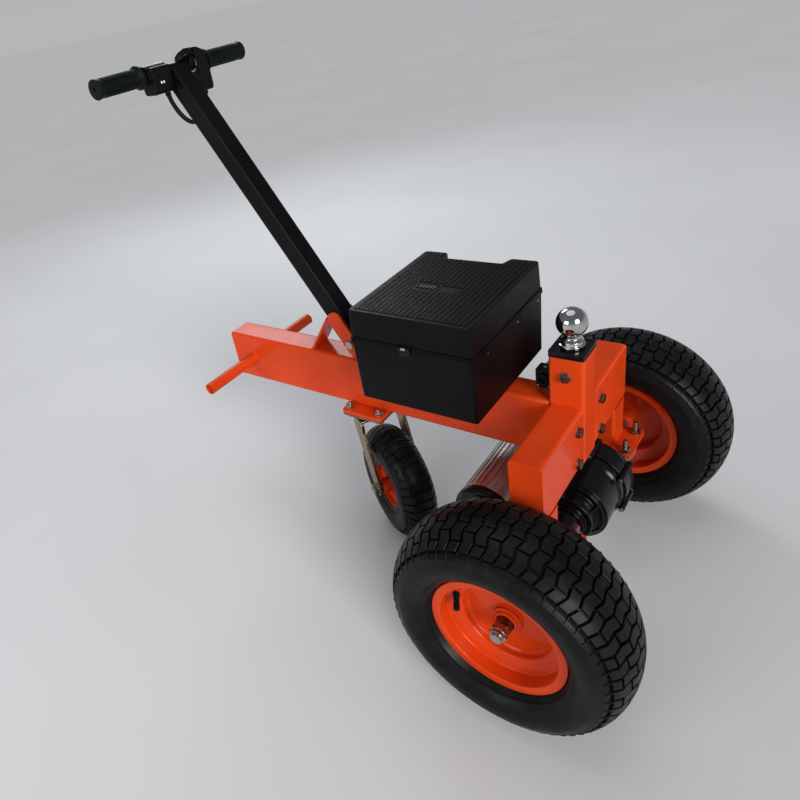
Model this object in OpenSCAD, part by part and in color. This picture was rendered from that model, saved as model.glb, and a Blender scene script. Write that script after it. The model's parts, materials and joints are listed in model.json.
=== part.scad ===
// Walk-behind electric tug: two driven wheels on a transaxle, a box-section frame with a
// tow ball, a swivelling rear caster, a battery box and a raked steering handle.
// X is the width (the near wheel of the usual view is at -X), +Y points back towards
// the person walking, +Z is up. The origin is on the ground, in the middle of the length.
// The modules are written with the drive axle at Y = 0, and placed() moves them there.

/* [Drive wheels] */
// Outside diameter of the drive tyres
tyre_d = 400; // [370:5:430]
// Section width of the drive tyres
tyre_w = 156; // [140:2:170]
// Distance between the middles of the two drive tyres
track_w = 584; // [570:2:620]
// Bead seat diameter of the drive rims
rim_seat_d = 203; // [190:1:215]
// Depth of the tread grooves
tread_depth = 7; // [4:0.5:9]
// Number of tread blocks round a drive tyre
tread_count = 34; // [20:2:40]
// Diameter of the half shafts
shaft_d = 25; // [20:1:28]

/* [Frame] */
// Width of the main beam
beam_w = 60; // [50:1:70]
// Height of the main beam and of the cross arms
beam_h = 115; // [100:1:130]
// Wall of the frame tubes
tube_wall = 4; // [3:0.5:6]
// Outer corner radius of the frame tubes
tube_corner = 7; // [5:0.5:10]
// Distance from the axle to the rear end of the beam
beam_rear_y = 820; // [780:5:900]
// Depth of the cross arms and legs, along the beam
cross_d = 56; // [50:1:64]
// Width of a leg
leg_w = 60; // [50:1:66]
// Height of a leg, from its foot plate to the cross arm
leg_h = 77; // [60:1:110]
// Gap between a leg and the tyre beside it
tyre_gap = 15; // [12:1:25]
// Diameter of the lifting bar through the rear of the beam
lift_bar_d = 26; // [20:1:32]
// Overall length of the lifting bar
lift_bar_l = 356; // [300:4:420]
// Distance from the beam's rear end to the lifting bar
lift_bar_inset = 60; // [40:2:90]

/* [Tow post] */
// Outside width of the square tow post
post_w = 60; // [56:1:66]
// Distance from the axle back to the middle of the post
post_y = 7; // [2:1:12]
// Height of the post above the beam
post_rise = 90; // [70:2:130]
// Diameter of the tow ball
ball_d = 50.8; // [47.6:0.2:60]
// Height of the ball's centre above the riser's cap
ball_rise = 43; // [40:1:60]
// Travel of the height adjuster
riser_travel = 40; // [20:2:50]

/* [Handle] */
// Outside width of the square handle tube
handle_w = 40; // [34:1:44]
// Rake of the handle above the horizontal
handle_angle = 58; // [52:1:66]
// Height of the handlebar above the beam
handle_rise = 586; // [500:5:640]
// Distance from the axle to the foot of the handle
handle_y = 434.3; // [420:0.1:460]
// Overall width across the two grips
bar_w = 380; // [368:2:460]
// Diameter of the handlebar tube
bar_d = 22; // [20:1:25]
// Outside diameter of the grips
grip_d = 35; // [30:1:37]
// Bare bar between the fixed grip and the switch housing
grip_room = 9; // [6:0.5:24]
// Length of the twist grip
twist_l = 110; // [90:2:116]

/* [Battery box] */
// Width of the box, across the beam
box_w = 276; // [250:2:300]
// Length of the box, along the beam
box_l = 241; // [236:1:250]
// Height of the box below its lid
base_h = 124; // [115:1:140]
// Height of the lid
lid_h = 59; // [50:1:70]
// Gap between the post and the box
box_gap = 77; // [70:1:84]
// Wall of the box
box_wall = 3; // [2.5:0.5:4]
// Number of ribs on the lid
rib_count = 24; // [12:1:28]

/* [Drive unit] */
// Radius of the differential drum
drum_r = 68; // [64:1:70]
// Diameter of the motor body
motor_d = 110; // [100:1:112]
// Length of the aluminium motor body
motor_l = 176; // [150:2:180]
// Distance from the axle back to the motor shaft
motor_y = 125; // [124:1:132]
// Height of the motor shaft above the axle
motor_rise = 28; // [24:1:36]
// Outside diameter of the axle tubes
axle_tube_d = 60; // [54:1:62]

/* [Caster] */
// Outside diameter of the caster tyre
caster_d = 260; // [230:2:270]
// Section width of the caster tyre
caster_w = 80; // [66:2:86]
// Distance from the axle to the swivel
caster_y = 436; // [425:1:445]
// Trail of the caster wheel behind its swivel
caster_trail = 54; // [40:1:60]
// Direction in which the caster is parked
caster_turn = 239; // [0:1:359]

/* [Hidden] */
$fn = 48;

orange = "#E4481A";
black = "#1B1B1D";
steel = "#C9CBCE";
zinc = "#B9A878";
alloy = "#A8A5A0";
rubber = "#151515";

// Overrun of every cut
cut = 1;
// Clearances: round running fits, hinge gaps and loose square fits
run_gap = 0.05;
hinge_gap = 0.3;
slide_gap = 0.5;
corner_fn = 32;

// Levels and places that follow from the driving sizes
axle_z = tyre_d / 2;
track_half = track_w / 2;
foot_t = 8;
saddle_rise = 32;
foot_z = axle_z + saddle_rise + foot_t;
beam_z0 = foot_z + leg_h;
beam_z1 = beam_z0 + beam_h;
beam_zc = beam_z0 + beam_h / 2;
leg_x1 = track_half - tyre_w / 2 - tyre_gap;
leg_x0 = leg_x1 - leg_w;
leg_xc = (leg_x0 + leg_x1) / 2;
cross_y0 = post_y - cross_d / 2;
cross_y1 = post_y + cross_d / 2;
post_y0 = post_y - post_w / 2;
post_y1 = post_y + post_w / 2;
post_z1 = beam_z1 + post_rise;
box_y0 = post_y1 + box_gap;
box_y1 = box_y0 + box_l;
box_yc = (box_y0 + box_y1) / 2;
seam_z = beam_z1 + base_h;
motor_z = axle_z + motor_rise;
bar_z = beam_z1 + handle_rise;
bar_y = handle_y + handle_rise / tan(handle_angle);

// Fasteners: shank radius, head across flats, head height and washer
m10_r = 5;
m10_af = 17;
m10_head = 6.5;
m10_washer_r = 10;
m6_r = 3;
m6_af = 10;
m6_head = 4;
m5_r = 2.5;
m5_af = 8;
m5_head = 3.5;
washer_t = 1.6;
hex_share = 2 / sqrt(3);

// A list in reverse order
function back(list) = [for (i = [len(list) - 1:-1:0]) list[i]];

// Rectangle with round corners, centred
module round_rect(w, h, r) {
    square([w - 2 * r, h], center = true);
    square([w, h - 2 * r], center = true);
    for (sx = [-1, 1], sy = [-1, 1])
        translate([sx * (w / 2 - r), sy * (h / 2 - r)]) circle(r = r, $fn = corner_fn);
}

// Hollow rectangle with round corners, centred
module tube_ring(w, h, wall, r) {
    difference() {
        round_rect(w, h, r);
        round_rect(w - 2 * wall, h - 2 * wall, max(r - wall, wall / 2));
    }
}

// Turn an upright extrusion along +X, its plan's x along Y and its plan's y along Z
module along_x(x0) {
    translate([x0, 0, 0]) rotate([90, 0, 90]) children();
}

// Turn an upright extrusion along +Y, its plan's x along X and its plan's y along -Z
module along_y(y0) {
    translate([0, y0, 0]) rotate([-90, 0, 0]) children();
}

module x_rod(r, x0, x1) {
    translate([x0, 0, 0]) rotate([0, 90, 0]) cylinder(r = r, h = x1 - x0);
}

module y_rod(r, y0, y1) {
    translate([0, y0, 0]) rotate([-90, 0, 0]) cylinder(r = r, h = y1 - y0);
}

// Hex prism standing on Z = 0
module hex(af, h) {
    cylinder(d = af * hex_share, h = h, $fn = 6);
}

// Bolt along +Z: washer and head below Z = 0, shank above, nut at grip
module bolt(r, af, head, grip, washer_r) {
    translate([0, 0, -washer_t]) cylinder(r = washer_r, h = washer_t);
    translate([0, 0, -washer_t - head]) hex(af, head + washer_t);
    cylinder(r = r, h = grip + washer_t + head + r);
    translate([0, 0, grip]) cylinder(r = washer_r, h = washer_t);
    translate([0, 0, grip + washer_t]) hex(af, head);
}

// Puts a node in the frame of the whole part
module placed() {
    translate([0, -(beam_rear_y - tyre_d / 2) / 2, 0]) children();
}

// Both sides of the machine, mirrored in X
module both_sides() {
    children();
    mirror([1, 0, 0]) children();
}

// Main beam
lift_bar_y = beam_rear_y - lift_bar_inset;
weld_gap = 0.2;
box_bolt_inset = 10;
box_bolt_y = [box_y0 + box_wall + box_bolt_inset, box_y1 - box_wall - box_bolt_inset];

module main_beam() {
    placed() color(orange) difference() {
        translate([0, 0, beam_zc]) along_y(post_y1)
            linear_extrude(beam_rear_y - post_y1) round_rect(beam_w, beam_h, tube_corner);
        translate([0, 0, beam_zc]) along_y(post_y1 - cut)
            linear_extrude(beam_rear_y - post_y1 - tube_wall + cut)
                round_rect(beam_w - 2 * tube_wall, beam_h - 2 * tube_wall, tube_wall);
        translate([0, lift_bar_y, beam_zc])
            x_rod(lift_bar_d / 2 + weld_gap, -beam_w, beam_w);
        for (y = box_bolt_y) translate([0, y, beam_z1 - tube_wall - cut])
            cylinder(r = m6_r + weld_gap, h = tube_wall + 2 * cut);
    }
}

// Lifting bar: a hollow tube through the beam, one peg on each side
bar_tube_wall = 2.5;

module lift_bar() {
    placed() color(orange) translate([0, lift_bar_y, beam_zc]) difference() {
        x_rod(lift_bar_d / 2, -lift_bar_l / 2, lift_bar_l / 2);
        x_rod(lift_bar_d / 2 - bar_tube_wall, -lift_bar_l / 2 - cut, lift_bar_l / 2 + cut);
    }
}

// Cross arms: one each side of the post, bolted right through
arm_bolt_out = 25;
arm_bolt_x = post_w / 2 + arm_bolt_out;
arm_bolt_low = 19;
arm_bolt_high = 30;
arm_bolt_z = [beam_z0 + arm_bolt_low, beam_z1 - arm_bolt_high];

module arm_bolt_places() {
    for (z = arm_bolt_z) translate([arm_bolt_x, cross_y0, z]) children();
}

module cross_arms() {
    placed() color(orange) both_sides() difference() {
        translate([0, post_y, beam_zc]) along_x(post_w / 2)
            linear_extrude(leg_x1 - post_w / 2) round_rect(cross_d, beam_h, tube_corner);
        translate([0, post_y, beam_zc]) along_x(post_w / 2 + tube_wall)
            linear_extrude(leg_x1 - post_w / 2 - 2 * tube_wall)
                round_rect(cross_d - 2 * tube_wall, beam_h - 2 * tube_wall, tube_wall);
        arm_bolt_places() y_rod(m10_r + weld_gap, -cut, cross_d + cut);
    }
}

// Legs: square tubes under the outer ends of the arms
module legs() {
    placed() color(orange) both_sides() translate([leg_xc, post_y, foot_z]) linear_extrude(leg_h)
        tube_ring(leg_w, cross_d, tube_wall, tube_corner);
}

// Foot plates under the legs, with four U-bolt holes each
u_rod_r = 5;
u_room = 11;
u_bolt_y = axle_tube_d / 2 + u_rod_r + u_room;
stud_out = 13;
stud_in = 9;
stud_x = [leg_x0 - stud_out, leg_x1 - stud_in];
foot_edge = 10;
foot_over = 5;
foot_end = 14;
foot_x0 = stud_x[0] - foot_edge;
foot_x1 = leg_x1 + foot_over;
foot_y = u_bolt_y + foot_end;
saddle_room = 5;
saddle_y = u_bolt_y - u_rod_r - saddle_room;
saddle_drop = 19;

module stud_places() {
    for (x = stud_x, s = [-1, 1]) translate([x, s * u_bolt_y, 0]) children();
}

module foot_plates() {
    placed() color(orange) both_sides() difference() {
        translate([foot_x0, -foot_y, foot_z - foot_t])
            cube([foot_x1 - foot_x0, 2 * foot_y, foot_t]);
        stud_places() translate([0, 0, foot_z - foot_t - cut])
            cylinder(r = u_rod_r + weld_gap, h = foot_t + 2 * cut);
    }
}

// Tow post: square tube from under the arms to above the beam
post_z0 = beam_z0;
riser_bolt_drop = 33;
riser_bolt_z = post_z1 - riser_bolt_drop;

module ball_post() {
    placed() color(orange) translate([0, post_y, 0]) difference() {
        translate([0, 0, post_z0]) linear_extrude(post_z1 - post_z0)
            tube_ring(post_w, post_w, tube_wall, tube_corner);
        translate([0, 0, riser_bolt_z]) x_rod(m10_r + weld_gap, -post_w, post_w);
    }
}

// Height adjuster: square tube that slides in the post, with a cap plate and two slots
riser_w = post_w - 2 * tube_wall - 2 * slide_gap;
riser_wall = 5;
cap_t = 11;
riser_l = 116;
slot_end = 6;
thread_r = 9;

module ball_riser() {
    placed() color(black) translate([0, post_y, 0]) difference() {
        union() {
            translate([0, 0, post_z1 - riser_l]) linear_extrude(riser_l)
                tube_ring(riser_w, riser_w, riser_wall, tube_corner - tube_wall);
            translate([0, 0, post_z1 + weld_gap]) linear_extrude(cap_t - weld_gap)
                round_rect(post_w, post_w, tube_corner / 2);
            translate([0, 0, post_z1 - cut]) linear_extrude(2 * cut)
                round_rect(riser_w, riser_w, tube_corner - tube_wall);
        }
        translate([0, 0, post_z1 - 2 * cut]) cylinder(r = thread_r + weld_gap, h = cap_t + 4 * cut);
        for (end = [0, -riser_travel]) translate([0, 0, riser_bolt_z + end])
            x_rod(m10_r + slide_gap, -post_w, post_w);
        translate([-post_w, -m10_r - slide_gap, riser_bolt_z - riser_travel])
            cube([2 * post_w, 2 * (m10_r + slide_gap), riser_travel]);
    }
}

// Tow ball: ball, neck, collar, flange and threaded shank
neck_r = 14;
ball_collar_r = 18;
ball_collar_h = 6;
flange_r = 21;
ball_flange_t = 5;
cap_z = post_z1 + cap_t;

module tow_ball() {
    placed() color(steel) translate([0, post_y, cap_z]) {
        translate([0, 0, ball_rise]) sphere(d = ball_d);
        cylinder(r = neck_r, h = ball_rise);
        cylinder(r = flange_r, h = ball_flange_t);
        translate([0, 0, ball_flange_t + ball_collar_h / 2])
            cylinder(r = ball_collar_r, h = ball_collar_h);
        translate([0, 0, -cap_t - ball_nut_h - washer_t - thread_r / 2])
            cylinder(r = thread_r, h = cap_t + ball_nut_h + washer_t + thread_r);
    }
}

ball_nut_h = 14;
ball_nut_af = 27;

module ball_nut() {
    placed() color(steel) translate([0, post_y, post_z1 - cut - ball_nut_h]) difference() {
        union() {
            hex(ball_nut_af, ball_nut_h);
            translate([0, 0, ball_nut_h - washer_t])
                cylinder(d = ball_nut_af * hex_share, h = washer_t);
        }
        translate([0, 0, -cut]) cylinder(r = thread_r + run_gap, h = ball_nut_h + 2 * cut);
    }
}

// Clamp bolt through the post
module riser_bolt() {
    placed() color(steel) translate([-post_w / 2, post_y, riser_bolt_z]) rotate([0, 90, 0])
        bolt(m10_r, m10_af, m10_head, post_w, m10_washer_r);
}

// Handle seat: two ears beside the handle tube, and a flat brace behind it
ear_t = 5;
ear_w = 36;
ear_shift = -2;
ear_l = 134;
handle_gap = 14;
ear_bolt_s = 40;
brace_reach = 136;
brace_foot_y = handle_y + brace_reach;
brace_lean = 55;
brace_l = 134;

// Frame of the handle: origin on the beam's top, local X along the tube, Y forward, Z across
module on_handle() {
    translate([0, handle_y, beam_z1]) rotate([90, 0, 90]) rotate([0, 0, handle_angle]) children();
}

module both_ways() {
    children();
    mirror([0, 0, 1]) children();
}

module handle_ears() {
    placed() color(orange) intersection() {
        both_sides() difference() {
            on_handle() translate([0, 0, -handle_w / 2 - run_gap - ear_t])
                linear_extrude(ear_t) union() {
                    translate([-ear_w, ear_shift - ear_w / 2])
                        square([ear_l, ear_w]);
                    translate([ear_l - ear_w, ear_shift]) circle(d = ear_w);
                }
            on_handle() translate([ear_bolt_s, 0, -handle_w])
                cylinder(r = m10_r + weld_gap, h = 2 * handle_w);
        }
        translate([-post_w, handle_y - beam_h, beam_z1])
            cube([2 * post_w, 2 * beam_h, 2 * beam_h]);
    }
}

module handle_brace() {
    placed() color(orange) difference() {
        translate([-handle_w / 2 - ear_t, brace_foot_y, beam_z1]) rotate([90 - brace_lean, 0, 0])
            translate([0, -ear_t, -2 * ear_t]) cube([handle_w + 2 * ear_t, ear_t, brace_l]);
        translate([-post_w, handle_y, beam_z1 - beam_h]) cube([2 * post_w, 2 * beam_h, beam_h]);
        on_handle() translate([0, -handle_w / 2 - weld_gap, -post_w])
            cube([2 * brace_l, handle_w, 2 * post_w]);
    }
}

// Handle tube, its top end coped round the handlebar that is welded on it
handle_wall = 2;
bar_seat = 4;
handle_l = handle_rise / sin(handle_angle) - handle_gap - bar_seat;
cable_hole_r = 5.5;
cable_apart = 9;
cable_hole_drop = 100;
cable_s = handle_l + handle_gap - cable_hole_drop;

module handle_tube() {
    placed() color(black) difference() {
        on_handle() translate([handle_gap, 0, 0]) rotate([0, 90, 0])
            linear_extrude(handle_l) tube_ring(handle_w, handle_w, handle_wall, 2 * handle_wall);
        on_handle() translate([ear_bolt_s, 0, -handle_w])
            cylinder(r = m10_r + weld_gap, h = 2 * handle_w);
        on_handle() both_ways() translate([cable_s, 0, cable_apart]) y_rod(cable_hole_r, -handle_w, 0);
        translate([0, bar_y, bar_z]) x_rod(bar_d / 2 + weld_gap, -handle_w, handle_w);
    }
}

// Handlebar: a cross tube on the end of the handle
bar_wall = 2;

module handlebar() {
    placed() color(black) translate([0, bar_y, bar_z]) difference() {
        x_rod(bar_d / 2, -bar_w / 2 + bar_wall, bar_w / 2 - bar_wall);
        x_rod(bar_d / 2 - bar_wall, -bar_w / 2, bar_w / 2);
    }
}

// Grips: ribbed rubber sleeves with an inner flange
grip_flange_r = 22;
grip_flange_t = 5;
grip_end_r = 18.5;
grip_ring_t = 4;

module grip(side, length, clearance) {
    translate([0, bar_y, bar_z]) mirror([side < 0 ? 1 : 0, 0, 0]) difference() {
        union() {
            x_rod(grip_d / 2, bar_w / 2 - length, bar_w / 2);
            x_rod(grip_flange_r, bar_w / 2 - length, bar_w / 2 - length + grip_flange_t);
            x_rod(grip_end_r, bar_w / 2 - grip_ring_t, bar_w / 2 - grip_ring_t / 2);
        }
        x_rod(bar_d / 2 + clearance, bar_w / 2 - length - cut, bar_w / 2 - bar_wall + run_gap);
    }
}

module left_grip() {
    placed() color(rubber) grip(-1, bar_w / 2 + switch_x0 - grip_room, run_gap);
}

module right_grip() {
    placed() color(rubber) grip(1, twist_l, run_gap);
}

// Switch housing on the left of the bar, with the direction rocker on its front
housing_gap = 1.5;
switch_w = 57;
switch_x0 = -handle_w / 2 - housing_gap - switch_w;
switch_h = 50;
switch_d = 38;
switch_drop = 12;
rocker_w = 15;
rocker_h = 21;
rocker_t = 8;
rocker_rise = 3;
rocker_x = switch_x0 + switch_w / 2;
rocker_y = bar_y - switch_d / 2;
rocker_z = bar_z - switch_drop;
rocker_pin_r = 1.5;
rocker_pin_out = 2.5;

module switch_housing() {
    placed() color(black) difference() {
        translate([0, bar_y, bar_z - switch_drop]) along_x(switch_x0)
            linear_extrude(switch_w) round_rect(switch_d, switch_h, 3 * bar_wall);
        translate([0, bar_y, bar_z])
            x_rod(bar_d / 2 + run_gap, switch_x0 - cut, switch_x0 + switch_w + cut);
        translate([rocker_x, rocker_y + rocker_t / 2, rocker_z]) x_rod(rocker_pin_r + run_gap,
            -rocker_w / 2 - rocker_pin_out - hinge_gap, rocker_w / 2 + rocker_pin_out + hinge_gap);
        translate([rocker_x - rocker_w / 2 - hinge_gap, rocker_y - cut, rocker_z - rocker_h / 2 - hinge_gap])
            cube([rocker_w + 2 * hinge_gap, rocker_t + cut, rocker_h + 2 * hinge_gap]);
    }
}

// Direction rocker: two faces that meet in a shallow V, on a cross pin
module rocker() {
    placed() color(black) translate([rocker_x, rocker_y + rocker_t / 2, rocker_z]) {
        along_x(-rocker_w / 2) linear_extrude(rocker_w) polygon([
            [-rocker_t / 2, 0], [-rocker_t / 2 - rocker_rise, rocker_h / 2 - hinge_gap - cut],
            [rocker_pin_r, rocker_pin_r], [rocker_pin_r, -rocker_pin_r],
            [-rocker_t / 2 - rocker_rise, -rocker_h / 2 + hinge_gap + cut]]);
        x_rod(rocker_pin_r, -rocker_w / 2 - rocker_pin_out, rocker_w / 2 + rocker_pin_out);
    }
}

// Throttle housing on the right of the bar, with a round display tilted up to the operator
throttle_off = 28;
throttle_x0 = handle_w / 2 + throttle_off;
throttle_w = bar_w / 2 - twist_l - housing_gap - throttle_x0;
throttle_up = 30;
throttle_down = 54;
throttle_d = 38;
throttle_neck = 18;
throttle_collar_r = 16;
throttle_collar_out = 2;
display_r = 21;
display_t = 14;
display_off = 13;
display_up = 32;
display_tilt = 55;
display_x = throttle_x0 - display_off;
display_z = bar_z + display_up - display_r * cos(display_tilt) - display_t / 2 * sin(display_tilt);

module throttle_housing() {
    placed() color(black) difference() {
        union() {
            translate([throttle_x0, bar_y + throttle_d / 2, bar_z]) rotate([90, 0, 0])
                linear_extrude(throttle_d) polygon([[0, -throttle_down], [0, throttle_up],
                    [0.25 * throttle_w, throttle_up], [throttle_w, throttle_neck],
                    [throttle_w, -0.85 * throttle_down], [0.9 * throttle_w, -throttle_down]]);
            translate([0, bar_y, bar_z])
                x_rod(throttle_collar_r, throttle_x0 - throttle_collar_out, throttle_x0 + throttle_w / 2);
            translate([display_x, bar_y, display_z]) rotate([display_tilt, 0, 0])
                y_rod(display_r, -display_t / 2, display_t / 2);
        }
        translate([0, bar_y, bar_z])
            x_rod(bar_d / 2 + run_gap, display_x - display_r - cut, throttle_x0 + throttle_w + cut);
    }
}

// Control cables, from the two housings into the holes in the handle tube
cable_r = 4;
cable_sides = 10;
cable_rings = 22;
cable_droop = 38;
step_share = 0.01;

function lerp(a, b, t) = a + (b - a) * t;

function bezier(p, t) =
    let (a = lerp(p[0], p[1], t), b = lerp(p[1], p[2], t), c = lerp(p[2], p[3], t),
        d = lerp(a, b, t), e = lerp(b, c, t))
    lerp(d, e, t);

function unit(v) = v / norm(v);

// Tube along a bezier curve, one ring of points at each step
module cable(p, r) {
    rings = [for (i = [0:cable_rings])
        let (t = i / cable_rings, c = bezier(p, t),
            d = unit(bezier(p, min(t + step_share, 1)) - bezier(p, max(t - step_share, 0))),
            u = unit(cross(d, [0, 1, 0])), v = cross(d, u))
        [for (k = [0:cable_sides - 1])
            c + r * (cos(360 * k / cable_sides) * u + sin(360 * k / cable_sides) * v)]];
    points = [for (ring = rings) for (q = ring) q];
    n = cable_sides;
    faces = concat(
        [[for (k = [0:n - 1]) k]],
        [for (i = [0:cable_rings - 1]) for (k = [0:n - 1])
            [i * n + k, (i + 1) * n + k, (i + 1) * n + (k + 1) % n, i * n + (k + 1) % n]],
        [[for (k = [n - 1:-1:0]) cable_rings * n + k]]);
    polyhedron(points = points, faces = faces, convexity = 4);
}

function handle_point(s, forward, x) =
    [x, handle_y + s * cos(handle_angle) - forward * sin(handle_angle),
        beam_z1 + s * sin(handle_angle) + forward * cos(handle_angle)];

module control_cables() {
    throttle_exit = [throttle_x0 + 0.6 * throttle_w, bar_y, bar_z - throttle_down - weld_gap];
    switch_exit = [switch_x0 + 0.85 * switch_w, bar_y, bar_z - switch_drop - switch_h / 2 - weld_gap];
    rear = -handle_w / 2;
    for (end = [[throttle_exit, 1], [switch_exit, -1]])
        placed() color(black) cable([end[0], end[0] + [0, 0, -cable_droop],
            handle_point(cable_s, rear - cable_droop, end[1] * cable_apart),
            handle_point(cable_s, rear + handle_wall / 2, end[1] * cable_apart)], cable_r);
}

// Bolts that hold the arms, the ears and the handle
module frame_bolts() {
    placed() color(steel) {
        both_sides() arm_bolt_places() rotate([-90, 0, 0])
            bolt(m10_r, m10_af, m10_head, cross_d, m10_washer_r);
        on_handle() translate([ear_bolt_s, 0, -handle_w / 2 - run_gap - ear_t])
            bolt(m10_r, m10_af, m10_head, handle_w + 2 * (run_gap + ear_t), m10_washer_r);
    }
}

// U-bolts round the axle tubes, with their nuts on the foot plates
stud_rise = 26;

module u_bolts() {
    placed() color(steel) both_sides() {
        for (x = stud_x) translate([x, 0, axle_z]) {
            rotate([90, 0, 90]) rotate([0, 0, 180]) rotate_extrude(angle = 180)
                translate([u_bolt_y, 0]) circle(r = u_rod_r);
            for (s = [-1, 1]) translate([0, s * u_bolt_y, 0])
                cylinder(r = u_rod_r, h = foot_z - axle_z + stud_rise);
        }
        stud_places() translate([0, 0, foot_z]) difference() {
            union() {
                cylinder(r = m10_washer_r, h = washer_t);
                translate([0, 0, washer_t]) hex(m10_af, m10_head);
            }
            translate([0, 0, -cut]) cylinder(r = u_rod_r, h = m10_head + washer_t + 2 * cut);
        }
    }
}

// Transaxle: axle tubes with spring saddles, drum, gear case and cover
axle_wall = 5;
axle_over = 12;
axle_x1 = leg_x1 + axle_over;
saddle_in = 2;
saddle_x0 = foot_x0 + saddle_in;
saddle_x1 = foot_x1 - saddle_in;
drum_x0 = -25;
drum_x1 = 56;
drum_wall = 6;
cone_x = [-30, -40, -54, -66];
cone_in = [6, 19, 22];
cone_over = 5;
cone_r = [drum_r - cone_in[0], drum_r - cone_in[1], drum_r - cone_in[2],
    axle_tube_d / 2 + cone_over];
case_x0 = drum_x1;
case_x1 = 92;
case_wall = 5;
cover_t = 6;
case_over = 4;
motor_over = 1;
case_axle_r = drum_r + case_over;
case_motor_r = motor_d / 2 + motor_over;

module saddle_block() {
    translate([saddle_x0, -saddle_y, axle_z - saddle_drop])
        cube([saddle_x1 - saddle_x0, 2 * saddle_y, saddle_drop + saddle_rise]);
}

module axle_tubes() {
    placed() color(black) difference() {
        union() {
            translate([0, 0, axle_z]) x_rod(axle_tube_d / 2, -axle_x1, cone_x[3]);
            translate([0, 0, axle_z]) x_rod(axle_tube_d / 2, case_x1 + cover_t, axle_x1);
            both_sides() saddle_block();
        }
        translate([0, 0, axle_z])
            x_rod(axle_tube_d / 2 - axle_wall, -axle_x1 - cut, axle_x1 + cut);
    }
}

ear_bolt_angles = [95, 150, 205, 250, 295, 330];
ear_bolt_out = 5.5;
ear_bolt_r = drum_r + ear_bolt_out;
case_screw_r = 3.5;

module case_ears(x0, x1, hole) {
    for (a = ear_bolt_angles) translate([0, ear_bolt_r * cos(a), axle_z + ear_bolt_r * sin(a)])
        x_rod(hole ? m5_r + weld_gap : m5_r + case_screw_r, x0, x1);
}

module diff_housing() {
    placed() color(black) difference() {
        union() {
            translate([0, 0, axle_z]) {
                x_rod(drum_r, drum_x0, drum_x1);
                x_rod(cone_r[0], cone_x[0], drum_x0);
                x_rod(cone_r[1], cone_x[1], drum_x0);
                x_rod(cone_r[2], cone_x[2], drum_x0);
                x_rod(cone_r[3], cone_x[3], drum_x0);
            }
            case_ears(drum_x1 - 2 * drum_wall, drum_x1, false);
        }
        translate([0, 0, axle_z]) {
            x_rod(drum_r - drum_wall, drum_x0 + drum_wall, drum_x1 + cut);
            x_rod(axle_tube_d / 2 - axle_wall, cone_x[3] - cut, drum_x0 + 2 * drum_wall);
        }
        case_ears(drum_x1 - 2 * drum_wall - cut, drum_x1 + cut, true);
    }
}

// Plan of the gear case in the YZ plane: two discs and the web between them
module case_plan(inset) {
    dir = atan2(motor_rise, motor_y);
    span = norm([motor_y, motor_rise]);
    r0 = case_axle_r - inset;
    r1 = case_motor_r - inset;
    translate([0, axle_z]) rotate(dir) {
        circle(r = r0);
        translate([span, 0]) circle(r = r1);
        polygon([[0, -r0], [span, -r1], [span, r1], [0, r0]]);
    }
}

module gear_case() {
    placed() color(black) difference() {
        union() {
            along_x(case_x0) linear_extrude(case_x1 - case_x0) case_plan(0);
            case_ears(case_x0, case_x1, false);
        }
        along_x(case_x0 + case_wall) linear_extrude(case_x1 - case_x0) case_plan(case_wall);
        translate([0, 0, axle_z]) x_rod(drum_r - drum_wall, case_x0 - cut, case_x0 + 2 * case_wall);
        translate([0, motor_y, motor_z]) x_rod(2 * motor_shaft_r, case_x0 - cut, case_x0 + 2 * case_wall);
        translate([0, idler_y, idler_z]) x_rod(idler_pin_r + run_gap, case_x0 + cut / 2, case_x1);
        case_ears(case_x0 - cut, case_x1 + cut, true);
    }
}

module gear_cover() {
    placed() color(black) difference() {
        union() {
            along_x(case_x1) linear_extrude(cover_t) case_plan(0);
            case_ears(case_x1, case_x1 + cover_t, false);
        }
        translate([0, 0, axle_z])
            x_rod(axle_tube_d / 2 - axle_wall, case_x1 - cut, case_x1 + cover_t + cut);
        translate([0, idler_y, idler_z])
            x_rod(idler_pin_r + run_gap, case_x1 - cut, case_x1 + cover_t - cut / 2);
        case_ears(case_x1 - cut, case_x1 + cover_t + cut, true);
    }
}

module case_bolts() {
    placed() color(steel) for (a = ear_bolt_angles)
        translate([drum_x1 - 2 * drum_wall, ear_bolt_r * cos(a), axle_z + ear_bolt_r * sin(a)])
            rotate([0, 90, 0])
                bolt(m5_r, m5_af, m5_head, case_x1 + cover_t - drum_x1 + 2 * drum_wall, m5_af / 2);
}

// Motor: faceted aluminium body with fins, and a ribbed black end bell
motor_x1 = case_x0;
motor_x0 = motor_x1 - motor_l;
motor_wall = 6;
motor_fin_count = 18;
motor_fin_w = 5;
motor_fin_d = 2.5;
bell_l = 18;
bell_rib_count = 24;
bell_rib_w = 3;
motor_shaft_r = 7;

module motor_body() {
    placed() color(alloy) translate([0, motor_y, motor_z]) difference() {
        x_rod(motor_d / 2, motor_x0, motor_x1);
        x_rod(motor_d / 2 - motor_wall, motor_x0 - cut, motor_x1 - motor_wall);
        x_rod(2 * motor_shaft_r, motor_x0, motor_x1 + cut);
        for (k = [0:motor_fin_count - 1]) rotate([k * 360 / motor_fin_count, 0, 0])
            translate([motor_x0 + motor_wall, -motor_fin_w / 2, motor_d / 2 - motor_fin_d])
                cube([motor_l - 2 * motor_wall, motor_fin_w, motor_d]);
    }
}

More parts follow.
